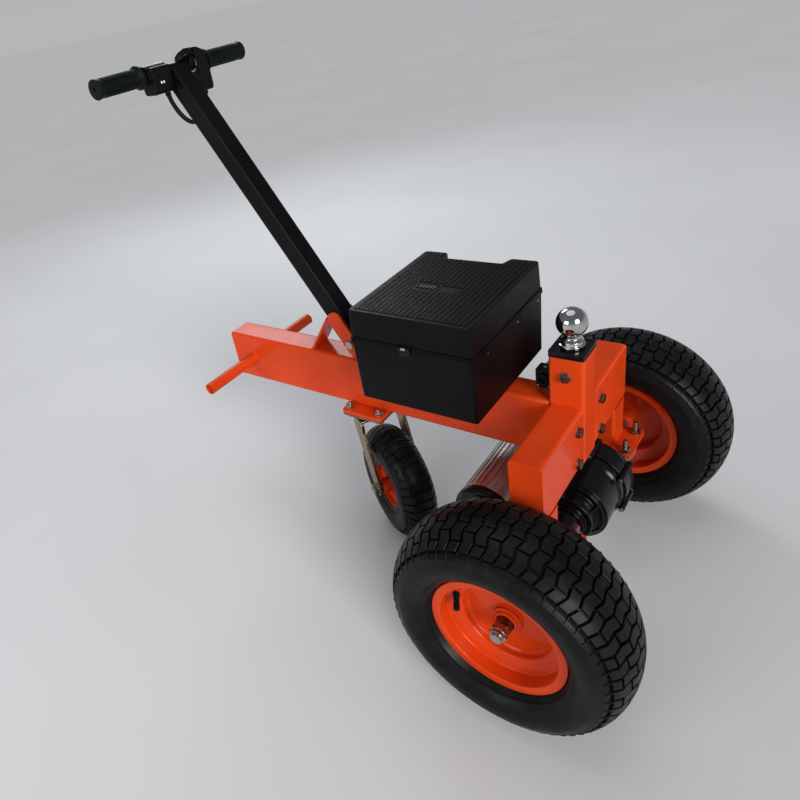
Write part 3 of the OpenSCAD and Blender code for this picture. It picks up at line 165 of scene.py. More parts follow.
class TugStageSettings(bpy.types.PropertyGroup):
    """Camera and light."""

    focal: bpy.props.FloatProperty(
        name="Focal length", description="Focal length for a 36 mm sensor, in millimetres",
        default=30.29)
    yaw: angle("Yaw", "Turn of the camera round the machine", -0.82508)
    pitch: angle("Pitch", "Height of the view above the horizon", 0.50566)
    roll: angle("Roll", "Roll of the camera", -0.20239)
    place: bpy.props.FloatVectorProperty(
        name="Place", description="Where the camera stands", size=3,
        default=(-0.94508, -0.65812, 1.11394), subtype="TRANSLATION", unit="LENGTH")
    shift: bpy.props.FloatVectorProperty(
        name="Shift", description="Shift of the camera's centre, in frame widths", size=2,
        default=(0.0784, -0.0514))


# ---------------------------------------------------------------- geometry

def place(origin, x_axis, y_axis):
    """Matrix that carries local x and y to these directions, with local z across them."""
    x, y = Vector(x_axis).normalized(), Vector(y_axis).normalized()
    z = x.cross(y)
    turn = Matrix((x, y, z)).transposed().to_4x4()
    return Matrix.Translation(Vector(origin)) @ turn


def facing_x(x=0.0, y=0.0, z=0.0):
    """Plan in the YZ plane, extruded along +X."""
    return place((x, y, z), Y, Z)


def facing_z(x=0.0, y=0.0, z=0.0):
    """Plan in the XY plane, extruded along +Z."""
    return place((x, y, z), X, Y)


def out_at(turn):
    """Direction away from the X axis, turned from +Y towards +Z."""
    return Vector((0, math.cos(turn), math.sin(turn)))


def around(count, first=0.0):
    """Angles in even steps round a circle."""
    return [2 * math.pi * (k + first) / count for k in range(count)]


def sweep(first, last, count):
    """Angles in even steps between two, given in degrees."""
    return [math.radians(first + (last - first) * k / count) for k in range(count + 1)]


def polar(r, a, x=0.0, y=0.0):
    """Point of a plan at a distance and an angle from a centre."""
    return x + r * math.cos(a), y + r * math.sin(a)


def fillet(points, radius, segments=3, closed=True):
    """Round the corners of a polyline. A point may carry its own radius as a third number."""
    out, n = [], len(points)
    for i, p in enumerate(points):
        r = p[2] if len(p) > 2 else radius
        mid = Vector(p[:2])
        if r <= 0 or (not closed and i in (0, n - 1)):
            out.append((mid.x, mid.y))
            continue
        before = Vector(points[i - 1][:2]) - mid
        after = Vector(points[(i + 1) % n][:2]) - mid
        half = before.angle(after) / 2
        cut = min(r / math.tan(half), before.length * 0.48, after.length * 0.48)
        a, b = mid + before.normalized() * cut, mid + after.normalized() * cut
        for k in range(segments + 1):
            t = k / segments
            q = a * (1 - t) ** 2 + mid * (2 * t * (1 - t)) + b * t * t
            out.append((q.x, q.y))
    return out


def mirrored(points):
    """Points, then their mirror images in height from the last one back."""
    return points + [(p[0], -p[1], *p[2:]) for p in reversed(points)]


def rect(w, h, r, segments=6):
    """Rectangle with round corners, centred."""
    corners = [(-w / 2, -h / 2), (w / 2, -h / 2), (w / 2, h / 2), (-w / 2, h / 2)]
    return fillet(corners, r, segments)


def prism(bm, outline, matrix, z0, z1, bevel=0.8, segments=2):
    """Extrude a plan along the matrix's z, and round the edges of both ends."""
    low = [bm.verts.new(matrix @ Vector((x, y, z0))) for x, y in outline]
    face = bm.faces.new(low)
    made = bmesh.ops.extrude_face_region(bm, geom=[face])["geom"]
    top = [g for g in made if isinstance(g, bmesh.types.BMVert)]
    step = matrix.to_3x3() @ Vector((0, 0, z1 - z0))
    bmesh.ops.translate(bm, vec=step, verts=top)
    faces = {f for v in low + top for f in v.link_faces}
    bmesh.ops.recalc_face_normals(bm, faces=list(faces))
    ends = (set(low), set(top))
    edges = list({e for f in faces if set(f.verts) in ends for e in f.edges})
    bmesh.ops.bevel(bm, geom=edges, offset=bevel, offset_type="OFFSET", segments=segments,
                    profile=0.5, affect="EDGES", clamp_overlap=True, material=-1)


def turned(bm, section, origin, axis, steps=48, closed=True):
    """Turn a section of (radius, height) points round an axis."""
    axis = Vector(axis).normalized()
    out, start = axis.orthogonal().normalized(), Vector(origin)
    verts = [bm.verts.new(start + out * max(r, 0) + axis * h) for r, h in section]
    n = len(verts)
    edges = [bm.edges.new((verts[i], verts[(i + 1) % n])) for i in range(n if closed else n - 1)]
    before = set(bm.verts) - set(verts)
    bmesh.ops.spin(bm, geom=verts + edges, cent=start, axis=axis, dvec=(0, 0, 0),
                   angle=2 * math.pi, steps=steps, use_merge=True, use_normal_flip=False,
                   use_duplicate=False)
    fresh = [v for v in bm.verts if v not in before]
    bmesh.ops.remove_doubles(bm, verts=fresh, dist=MERGE)
    fresh = [v for v in bm.verts if v not in before]
    bmesh.ops.recalc_face_normals(bm, faces=list({f for v in fresh for f in v.link_faces}))


def rod(bm, radius, origin, axis, h0, h1, round_by=0.6, steps=32, bore=0.0):
    """Round bar or tube with softened ends."""
    if bore > 0:
        section = fillet([(bore, h0), (radius, h0), (radius, h1), (bore, h1)],
                         min(round_by, (radius - bore) / 3), 2)
        turned(bm, section, origin, axis, steps)
    else:
        section = fillet([(0, h0, 0), (radius, h0), (radius, h1), (0, h1, 0)], round_by, 2)
        turned(bm, section, origin, axis, steps, closed=False)


def quads(bm, rows, closed=True):
    """Faces between rows of vertices, all round each row if closed."""
    fresh = []
    for a, b in zip(rows, rows[1:]):
        for k in range(len(a) if closed else len(a) - 1):
            m = (k + 1) % len(a)
            fresh.append(bm.faces.new((a[k], a[m], b[m], b[k])))
    return fresh


def loft(bm, rings, caps=True):
    """Join rings of vertices with faces, and close the ends if asked."""
    fresh = quads(bm, rings)
    if caps:
        fresh += [bm.faces.new(rings[0]), bm.faces.new(rings[-1])]
    bmesh.ops.recalc_face_normals(bm, faces=fresh)


def shell(bm, levels, y=0.0, caps=True, loop=False):
    """Loft through plans, each given with its height, and back to the first in a loop."""
    rings = [[bm.verts.new((px, y + py, z)) for px, py in plan] for plan, z in levels]
    loft(bm, rings + rings[:1] if loop else rings, caps)


def swept(bm, path, radius, sides=12):
    """Round tube along a path, with closed ends. The radius may be a function of the place."""
    points, rings, normal = [Vector(p) for p in path], [], None
    for i, p in enumerate(points):
        ahead = points[min(i + 1, len(points) - 1)] - points[max(i - 1, 0)]
        ahead.normalize()
        normal = ahead.orthogonal() if normal is None else normal - ahead * normal.dot(ahead)
        normal.normalize()
        side, r = ahead.cross(normal), radius(i) if callable(radius) else radius
        rings.append([bm.verts.new(p + (normal * math.cos(a) + side * math.sin(a)) * r)
                      for a in around(sides)])
    loft(bm, rings)


def bezier(a, b, c, d, n):
    """Points of a cubic curve."""
    a, b, c, d = Vector(a), Vector(b), Vector(c), Vector(d)
    return [a * (1 - t) ** 3 + b * 3 * t * (1 - t) ** 2 + c * 3 * t * t * (1 - t) + d * t ** 3
            for t in (i / n for i in range(n + 1))]


def threads(r, h0, h1):
    """Section of a threaded end from h0 to h1."""
    pitch, cut, tip = 1.5, 0.55, 1.2
    out, count = [(0, h0)], max(2, int(abs(h1 - h0 - tip) / pitch))
    step = (h1 - h0 - tip) / count
    for k in range(count):
        out += [(r, h0 + step * (k + 0.15)), (r, h0 + step * (k + 0.45)),
                (r - cut, h0 + step * (k + 0.65)), (r - cut, h0 + step * (k + 0.95))]
    return out + [(r - 1.0, h1), (0, h1)]


def hex_nut(bm, af, h, origin, axis, lift=0.0, domed=True):
    """Hex nut or bolt head with chamfered corners."""
    axis = Vector(axis).normalized()
    out = axis.orthogonal().normalized()
    matrix = place(Vector(origin) + axis * lift, out, axis.cross(out))
    prism(bm, [polar(af / math.sqrt(3), a) for a in around(6)], matrix, 0, h, 0.7)
    if domed:
        rod(bm, af * 0.46, origin, axis, lift, lift + h + 0.35, 0.3, 24)


def washer(bm, r, origin, axis, lift=0.0):
    """Flat washer."""
    rod(bm, r, origin, axis, lift, lift + WASHER, 0.35, 32)


def bolt(bm, origin, axis, grip, r=5.0, af=16.0, head=6.4, washer_r=9.6, tail=11.0, heads=None):
    """Bolt with its head before the origin and its nut after the grip."""
    back = -Vector(axis).normalized()
    washer(bm, washer_r, origin, back)
    hex_nut(heads or bm, af, head, origin, back, WASHER)
    washer(bm, washer_r, origin, axis, grip)
    hex_nut(bm, af, head, origin, axis, grip + WASHER, domed=False)
    turned(bm, threads(r, grip, grip + WASHER + tail), origin, axis, 24, closed=False)
    rod(bm, r, origin, axis, -1.0, grip + 1.0, 0.2, 24)


def bead(bm, path, width, seed):
    """Weld bead along a path: a row of overlapping ripples."""
    points = [Vector(p) for p in path]
    total = sum((b - a).length for a, b in zip(points, points[1:]))
    count, dense = max(6, int(total / RIPPLE)), []
    for k in range(count + 1):
        left = total * k / count
        for a, b in zip(points, points[1:]):
            part = (b - a).length
            if left <= part + TINY:
                dense.append(a.lerp(b, left / max(part, TINY)))
                break
            left -= part

    def width_at(i):
        """Width of the ripple at a place, small at both ends."""
        wave = 1 + 0.16 * math.cos(math.pi * i) + 0.08 * math.sin(i * 1.7 + seed)
        return width * wave * (0.35 if i in (0, len(dense) - 1) else 1)

    swept(bm, dense, width_at, 8)


def dress(name, bm, look, body="frame", crease=32, weighted=True, nodes=None, slot=None):
    """Turn the finished bmesh into an object that rides on its body.

    A piece whose name ends in _dressed replaces the CAD node of that name.
    """
    if not bm.faces:
        raise RuntimeError(name + " has no faces")
    bmesh.ops.scale(bm, vec=(MM, MM, MM), verts=bm.verts)
    mesh = bpy.data.meshes.new(name)
    bm.to_mesh(mesh)
    bm.free()
    mesh.polygons.foreach_set("use_smooth", [True] * len(mesh.polygons))
    mesh.set_sharp_from_angle(angle=math.radians(crease))
    piece = bpy.data.objects.new(name, mesh)
    bpy.context.scene.collection.objects.link(piece)
    mesh.materials.append(STATE["materials"][look])
    if weighted:
        modifier = piece.modifiers.new("Even normals", "WEIGHTED_NORMAL")
        modifier.keep_sharp = True
        modifier.weight = 80
    if nodes is None and name.endswith("_dressed"):
        nodes = [name.removesuffix("_dressed")]
    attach(piece, body)
    if nodes:
        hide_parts(*nodes)


def make(name, look, body, *parts, **options):
    """Build a piece from parts, each a builder with its arguments, and dress it."""
    bm = bmesh.new()
    for build, *args in parts:
        build(bm, *args)
    dress(name, bm, look, body, **options)


# ---------------------------------------------------------------- materials

def new_material(name):
    """New material with its node tree, its shader and the object's coordinates."""
    material = bpy.data.materials.new(name)
    material.use_nodes = True
    tree = material.node_tree
    shader = tree.nodes["Principled BSDF"]
    coords = tree.nodes.new("ShaderNodeTexCoord")
    return material, tree, shader, coords.outputs["Object"]


def add(tree, kind, links, values):
    """New node with links into its sockets and values on its own sockets."""
    node = tree.nodes.new(kind)
    for socket, output in links.items():
        tree.links.new(output, node.inputs[socket])
    for socket, value in values.items():
        node.inputs[socket].default_value = value
    return node


def noise(tree, coords, scale, detail=3.0, rough=0.5, stretch=None):
    """Noise in object space, stretched along one axis if asked."""
    if stretch:
        coords = add(tree, "ShaderNodeMapping", {"Vector": coords},
                     {"Scale": stretch}).outputs["Vector"]
    return add(tree, "ShaderNodeTexNoise", {"Vector": coords},
               {"Scale": scale, "Detail": detail, "Roughness": rough}).outputs["Fac"]


def ramp(tree, factor, low, high, start=0.35, end=0.65):
    """Colour or grey that runs from low to high as the factor runs from start to end."""
    node = add(tree, "ShaderNodeValToRGB", {"Fac": factor}, {})
    for element, value, spot in zip(node.color_ramp.elements, (low, high), (start, end)):
        element.color = (value, value, value, 1) if isinstance(value, float) else (*value, 1)
        element.position = spot
    return node.outputs["Color"]


def surface(name, tone, gloss, relief, spots=None, **sockets):
    """Material whose colour, gloss and relief drift over the surface in object space.

    tone and gloss: (noise settings, low, high, start, end). relief: rows of (height or noise
    settings, strength, distance in metres). spots: (noise settings, start, end, colour).
    """
    material, tree, shader, coords = new_material(name)
    made = {}

    def height(settings):
        """Noise of these settings, made once; one number alone gives cells of that scale."""
        if settings not in made:
            if len(settings) == 1:
                made[settings] = add(tree, "ShaderNodeTexVoronoi", {"Vector": coords},
                                     {"Scale": settings[0]}).outputs["Distance"]
            else:
                made[settings] = noise(tree, coords, *settings)
        return made[settings]

    colour = ramp(tree, height(tone[0]), *tone[1:])
    if spots:
        patch = ramp(tree, height(spots[0]), 0.0, 1.0, spots[1], spots[2])
        mix = tree.nodes.new("ShaderNodeMix")
        mix.data_type = "RGBA"
        mix.inputs["B"].default_value = (*spots[3], 1)
        tree.links.new(patch, mix.inputs["Factor"])
        tree.links.new(colour, mix.inputs["A"])
        colour = mix.outputs["Result"]
    tree.links.new(colour, shader.inputs["Base Color"])
    tree.links.new(ramp(tree, height(gloss[0]), *gloss[1:]), shader.inputs["Roughness"])
    for socket, value in sockets.items():
        shader.inputs[socket.replace("_", " ")].default_value = value
    last = {}
    for settings, strength, distance in relief:
        node = add(tree, "ShaderNodeBump", {"Height": height(settings), **last},
                   {"Strength": strength, "Distance": distance})
        last = {"Normal": node.outputs["Normal"]}
    tree.links.new(last["Normal"], shader.inputs["Normal"])
    return material


def paint(name, low, high, rough, coat, peel, specular):
    """Sprayed or powder-coated paint: slow colour drift and orange peel."""
    return surface(name, ((9.0, 4.0), low, high, 0.3, 0.7), ((34.0, 6.0, 0.62), *rough, 0.35, 0.72),
                   [((620.0, 2.0), peel, 0.0004), ((40.0, 2.0), peel * 0.5, 0.002)],
                   Metallic=0.0, Specular_IOR_Level=specular, Coat_Weight=coat,
                   Coat_Roughness=0.08)


def plastic(name, low, high, rough, grain, cell, specular):
    """Moulded plastic with a fine leather grain."""
    return surface(name, ((14.0, 5.0), low, high, 0.3, 0.75), ((55.0, 5.0, 0.6), *rough, 0.3, 0.7),
                   [((cell,), grain, 0.00025), ((90.0, 3.0), grain * 0.4, 0.0006)],
                   Specular_IOR_Level=specular)


def rubber(name, low, high, dust, rough, specular):
    """Rubber: near black, with dry dust on its high spots and a fine grain."""
    return surface(name, ((22.0, 6.0, 0.65), low, high, 0.35, 0.7),
                   ((40.0, 5.0), *rough, 0.3, 0.7),
                   [((900.0, 4.0, 0.6), 0.3, 0.0003), ((60.0, 3.0), 0.12, 0.0012)],
                   ((70.0, 7.0, 0.7), 0.52, 0.78, dust), Specular_IOR_Level=specular)


def metal(name, low, high, rough, grain, scale, spots=None, stretch=(1, 1, 1)):
    """Bare or plated metal: streaks along the work, and a mottled plating if asked."""
    streak = (scale, 5.0, 0.6, stretch)
    return surface(name, (streak, low, high, 0.3, 0.7), ((48.0, 6.0, 0.6), *rough, 0.3, 0.7),
                   [(streak, grain, 0.0003)],
                   spots and ((75.0, 6.0, 0.66), 0.45, 0.62, spots), Metallic=1.0)


def make_materials():
    """Every material of the object, by the record's slot names and a few more."""
    black, deep = (0.0025, 0.0025, 0.003), (0.005, 0.005, 0.006)
    return {
        "orange_paint": paint("Orange powder coat", (0.60, 0.046, 0.006), (0.72, 0.06, 0.008),
                              (0.2, 0.32), 0.2, 0.08, 0.07),
        "rim_paint": paint("Orange gloss paint", (0.58, 0.042, 0.005), (0.66, 0.052, 0.006),
                           (0.14, 0.22), 0.25, 0.03, 0.06),
        "black_paint": paint("Black satin paint", black, deep, (0.26, 0.38), 0.0, 0.1, 0.1),
        "black_gloss": paint("Black gloss paint", black, deep, (0.14, 0.22), 0.1, 0.1, 0.18),
        "window": paint("Display window", (0.002, 0.0022, 0.0026), (0.004, 0.0045, 0.005),
                        (0.12, 0.2), 0.0, 0.02, 0.08),
        "black_plastic": plastic("Moulded black plastic", (0.0025, 0.0025, 0.0028),
                                 (0.005, 0.005, 0.0055), (0.34, 0.46), 0.3, 1500.0, 0.08),
        "smooth_plastic": plastic("Smooth black plastic", (0.0025, 0.003, 0.0035),
                                  (0.005, 0.006, 0.007), (0.26, 0.38), 0.12, 2200.0, 0.12),
        "marks": plastic("Display marks", (0.16, 0.05, 0.02), (0.2, 0.07, 0.03),
                         (0.4, 0.5), 0.1, 2500.0, 0.1),
        "pale_marks": plastic("Pale display marks", (0.07, 0.09, 0.06), (0.1, 0.12, 0.09),
                              (0.4, 0.5), 0.1, 2500.0, 0.1),
        "white_marks": plastic("White print", (0.72, 0.72, 0.7), (0.8, 0.8, 0.78),
                               (0.35, 0.5), 0.1, 2500.0, 0.4),
        "black_rubber": rubber("Grip rubber", (0.003, 0.004, 0.005), (0.006, 0.008, 0.009),
                               (0.009, 0.011, 0.013), (0.4, 0.56), 0.1),
        "tyre_rubber": rubber("Tyre rubber", (0.0025, 0.0028, 0.003), (0.006, 0.0065, 0.007),
                              (0.012, 0.013, 0.014), (0.34, 0.46), 0.15),
        "chrome": metal("Chrome", (0.5, 0.5, 0.5), (0.58, 0.58, 0.58), (0.04, 0.08), 0.02, 60.0),
        "zinc_steel": metal("Zinc plated steel", (0.34, 0.31, 0.27), (0.56, 0.53, 0.47),
                            (0.18, 0.34), 0.12, 220.0, (0.36, 0.28, 0.2)),
        "dark_steel": metal("Oiled steel", (0.16, 0.14, 0.12), (0.27, 0.24, 0.21),
                            (0.22, 0.36), 0.12, 220.0, (0.12, 0.09, 0.07)),
        "yellow_zinc": metal("Yellow zinc", (0.2, 0.14, 0.07), (0.4, 0.31, 0.18),
                             (0.2, 0.36), 0.15, 160.0, (0.22, 0.13, 0.08), (1, 1, 0.15)),
        "alloy": metal("Cast alloy", (0.42, 0.41, 0.4), (0.58, 0.57, 0.55), (0.32, 0.5),
                       0.2, 240.0, (0.48, 0.46, 0.43), (0.12, 1, 1)),
        "gear_steel": metal("Machined steel", (0.36, 0.36, 0.37), (0.5, 0.5, 0.5),
                            (0.22, 0.4), 0.15, 300.0, stretch=(0.1, 1, 1)),
    }


# ---------------------------------------------------------------- tyres

class TyreShape:
    """Cross section of a tyre as a curve that can be walked from the crown outwards."""

    def __init__(self, s):
        self.out, self.half = s.radius / MM, s.half_width / MM
        self.seat, self.lip, self.bead = s.seat / MM, s.lip / MM, s.bead_half / MM
        mid, rise = (self.out + self.seat) / 2, (self.out - self.seat) / 2
        low = math.asin((self.lip - mid) / rise)
        share = math.log(self.bead / self.half) / math.log(math.cos(low))
        self.points, self.arcs, count = [], [], 240
        for k in range(count + 1):
            a = math.pi / 2 + (low - math.pi / 2) * k / count
            x = self.half * max(math.cos(a), 0.0) ** share if k else 0.0
            self.points.append(Vector((mid + rise * math.sin(a), x)))
            step = (self.points[-1] - self.points[-2]).length if k else 0.0
            self.arcs.append(self.arcs[-1] + step if k else 0.0)
        self.length = self.arcs[-1]

    def at(self, s, drop=0.0):
        """Radius and place across, at a distance from the crown and under the surface."""
        side, want = (-1 if s < 0 else 1), min(abs(s), self.length)
        hi = min(bisect.bisect_right(self.arcs, want), len(self.arcs) - 1)
        (a0, a1), (p0, p1) = self.arcs[hi - 1:hi + 1], self.points[hi - 1:hi + 1]
        p, d = p0.lerp(p1, (want - a0) / (a1 - a0)), (p1 - p0).normalized()
        return p.x - d.y * drop, side * (p.y + d.x * drop)


def tyre_mesh(bm, s, centre, axis):
    """Carcass, tread blocks and shoulder ribs of one tyre."""
    shape, up = TyreShape(s), axis.orthogonal().normalized()
    side = axis.cross(up)
    n, rows, depth = s.bars, s.rows, s.depth / MM
    pitch, edge = 2 * math.pi / n, shape.length * TREAD_SHARE

    def point(theta, along, drop):
        """Place under the surface at a turn of the tyre and a distance from its crown."""
        r, x = shape.at(along, drop)
        return centre + (up * math.cos(theta) + side * math.sin(theta)) * r + axis * x

    # carcass: groove floor under the tread, then the sidewalls with their fine rings,
    # each at a share of the way down and with a height
    rings, spread = ((0.53, 0.6), (0.62, 0.4), (0.9, 1.0)), 0.006
    shares = {k / 30 for k in range(31)}
    shares |= {spot + spread * k for spot, _ in rings for k in range(-2, 3)}
    outer = []
    for share in sorted(shares | {-v for v in shares}):
        along = share * shape.length
        wall = min(max((abs(along) - edge * 0.99) / (edge * 0.12), 0), 1)
        lift = sum(height * math.exp(-((abs(share) - spot) / spread) ** 2)
                   for spot, height in rings)
        outer.append(shape.at(along, depth * (1 - wall) - lift))
    inner = [(shape.seat, shape.bead), (shape.seat, shape.bead * 0.72)]
    inner += [shape.at(shape.length * 0.9 * k / 8, depth + 9) for k in range(8, -9, -1)]
    inner += [(shape.seat, -shape.bead * 0.72), (shape.seat, -shape.bead)]
    turned(bm, outer + inner, centre, axis, n * 3)

    def wave(along):
        """Turn of a wavy cross groove at a place across the tread."""
        phase = math.pi * (along / edge + 1) * rows / 2
        return -0.1 * pitch * (math.cos(phase) + math.cos(3 * phase) / 9)

    # bars between the grooves, each cut into blocks that stagger from bar to bar
    wide, thin = GROOVE_SHARE * pitch, s.sipe / MM
    for k in range(n):
        cuts = [0, *range(1 + k % 2, rows, 2), rows]
        for first, last in zip(cuts, cuts[1:]):
            steps, levels = 4 * (last - first), []
            for inset, drop in ((0.7, 0.0), (0.0, 0.7), (-0.2, depth + 0.8)):
                low = edge * (2 * first / rows - 1) + inset + (thin / 2 if first else 0)
                high = edge * (2 * last / rows - 1) - inset - (thin / 2 if last < rows else 0)
                gap, grid = wide / 2 + inset / shape.out, []
                for j in range(steps + 1):
                    along = low + (high - low) * j / steps
                    start = pitch * k + wave(along) + gap
                    grid.append([point(start + (pitch - 2 * gap) * i / 2, along, drop)
                                 for i in range(3)])
                levels.append(grid)
            top = [[bm.verts.new(p) for p in line] for line in levels[0]]
            quads(bm, top, False)
            trail = ([(0, i) for i in range(3)] + [(j, 2) for j in range(1, steps + 1)]
                     + [(steps, 1), (steps, 0)] + [(j, 0) for j in range(steps - 1, 0, -1)])
            quads(bm, [[top[j][i] for j, i in trail]]
                  + [[bm.verts.new(grid[j][i]) for j, i in trail] for grid in levels[1:]])

    # fine ribs that run from each groove's mouth on to the sidewall
    half = s.rib / MM / 2 / shape.out
    for sign in (-1, 1):
        for k in range(n):
            theta, rib = pitch * (k + 0.12) + wave(sign * edge), []
            for j in range(6):
                along = sign * (edge + shape.length * 0.1 * j / 5)
                lift = -1.1 if 0 < j < 5 else 0.4
                rib.append([bm.verts.new(point(theta + d * half, along, h))
                            for d, h in ((-1.5, 0.5), (-0.7, lift), (0.7, lift), (1.5, 0.5))])
            quads(bm, rib, False)
    bmesh.ops.recalc_face_normals(bm, faces=bm.faces)


class TUG_OT_tyres(bpy.types.Operator):
    """Build the two drive tyres and the caster tyre with their block tread"""

    bl_idname = "tug.tyres"
    bl_label = "Build tyres"

    def execute(self, context):
        scene = context.scene
        for name, side in (("left", -1), ("right", 1)):
            make(name + "_tyre_dressed", "tyre_rubber", name + "_wheel",
                 (tyre_mesh, scene.tug_tyre, AXLE + X * side * WHEEL_OUT, X),
                 crease=40, weighted=False)
        lap = fillet([(51.5, 30.2, 0.6), (60.5, 30.2), (62, 27), (68, 30.5), (66, 33.2, 2),
                      (51.5, 31.8, 0.8)], 0.5, 2)
        make("caster_tyre_dressed", "tyre_rubber", "caster_wheel",
             (tyre_mesh, scene.tug_caster_tyre, CASTER_HUB, CASTER_SIDE),
             *((turned, lap, CASTER_HUB, CASTER_SIDE * side, 96) for side in (-1, 1)),
             crease=40, weighted=False)
        return {"FINISHED"}


# ---------------------------------------------------------------- rims

class TUG_OT_rims(bpy.types.Operator):
    """Build the pressed rims, their hubs, nuts and valves"""

    bl_idname = "tug.rims"
    bl_label = "Build rims"

    def execute(self, context):
        rim = (mirrored([(112.4, 51.9, 1.3), (112.4, 49.3, 1.0), (101.4, 49.1, 2.5),
                         (101.4, 24.2, 4), (77.0, 16.2, 5)])
               + mirrored([(97.6, -51.9, 3), (98.3, -27.0, 4), (74.0, -19.2, 5)]))
        hub = [(12.6, -29.9), (20, -29.9, 1.5), (20, 1.0), (23, 1.0), (23, 11.9, 2.0),
               (19, 12.2), (19, 18.4, 2.0), (15.2, 18.4), (12.6, 11.9)]
        castle = [(9.2, 42, 0.2), (12.0, 42, 0.2), (12.0, 47.9, 0.8), (9.2, 47.9, 0.5)]
        stem = [(0, -4.8, 0), (5.6, -4.8, 0.5), (5.6, 7, 2), (4.8, 12), (4.6, 19), (5.3, 20.4),
                (5.3, 29.2), (3.4, 30.8), (0, 30.8, 0)]
        for name, side in (("left", -1), ("right", 1)):
            wheel, axis = name + "_wheel", X * side
            centre = AXLE + axis * WHEEL_OUT
            make(name + "_rim_dressed", "rim_paint", wheel,
                 (turned, fillet(rim, 2.0, 4), centre, axis, 96),
                 (turned, [(20, 2), (74.6, 2), (74.6, 5), (20, 5)], centre, axis, 96),
                 (turned, [(69.0, 4.6), (74.4, 4.6), (74.4, 10.0), (72.6, 7.0)], centre, axis, 96),
                 (turned, fillet(hub, 0.6, 3), centre, axis, 64),
                 *((swept, [centre + axis * out + out_at(a) * r for a in around(48) + [0]], 1.5, 8)
                   for r, out in ((24.4, 5.6), (22.2, 11.4))))
            make(name + "_wheel_spacer", "dark_steel", wheel,
                 (rod, 14.2, centre, axis, 12.0, 31.9, 1.0, 40))
            pin = centre + axis * 45.5
            leg = pin + Y * 11.4
            make(name + "_wheel_nut", "zinc_steel", wheel,
                 (hex_nut, 27, 10.6, centre + axis * 32, axis),
                 (turned, fillet(castle, 0.4, 2), centre, axis, 36),
                 (turned, threads(8.4, 41, 51.4), centre, axis, 32, False),
                 (rod, 6.2, centre, axis, 51, 52.8, 0.8, 32),
                 (rod, 1.55, pin, Y, -14, 12.4, 0.5, 12),
                 *((swept, [leg, leg + Vector((0, 2.0, lift * 1.2)),
                            leg + Vector((0, 3.2, lift * 3.4))], 1.3, 8) for lift in (-1, 1)),
                 (rod, 3.9, pin - Y * 11.4, axis, -1.3, 1.3, 0.5, 20, 1.9),
                 nodes=[name + "_fittings"])
            reach, tangent = out_at(math.radians(20)), out_at(math.radians(110))
            dip, swing = math.radians(10), math.radians(-32)
            lean = ((axis * math.cos(swing) + reach * math.sin(swing)) * math.cos(dip)
                    - tangent * math.sin(dip))
            make(name + "_valve", "black_rubber", wheel,
                 (turned, fillet(stem, 0.8, 2), centre + axis * 21 + reach * 87, lean, 24, False))
        rim = (mirrored([(60, 29.8, 1), (60, 27.4, 1), (50.8, 27.2, 2), (50.8, 20, 3), (42, 13, 3)])
               + mirrored([(48.6, -29.8, 2), (48, -20, 3), (39, -12.5, 3)]))
        plate = [(16, 0), (22, 0, 2), (27, 5, 2), (40.5, 5)]
        plate += [(p[0], p[1] + 3, *p[2:]) for p in reversed(plate)]
        hub = mirrored([(7.1, -43), (15, -43), (17, -38)])
        make("caster_rim_dressed", "rim_paint", "caster_wheel",
             (turned, fillet(rim, 1.5, 3), CASTER_HUB, CASTER_SIDE, 72),
             (turned, fillet(plate, 0.4, 3), CASTER_HUB, CASTER_SIDE, 64),
             (turned, fillet(hub, 1.0, 2), CASTER_HUB, CASTER_SIDE, 48))
        return {"FINISHED"}


# ---------------------------------------------------------------- frame

def handle_place(s):
    """Matrix of the handle: local x along the tube, y towards the box, z across."""
    return place((0, 124.3, BEAM_TOP), out_at(s.rake), out_at(s.rake + math.pi / 2))


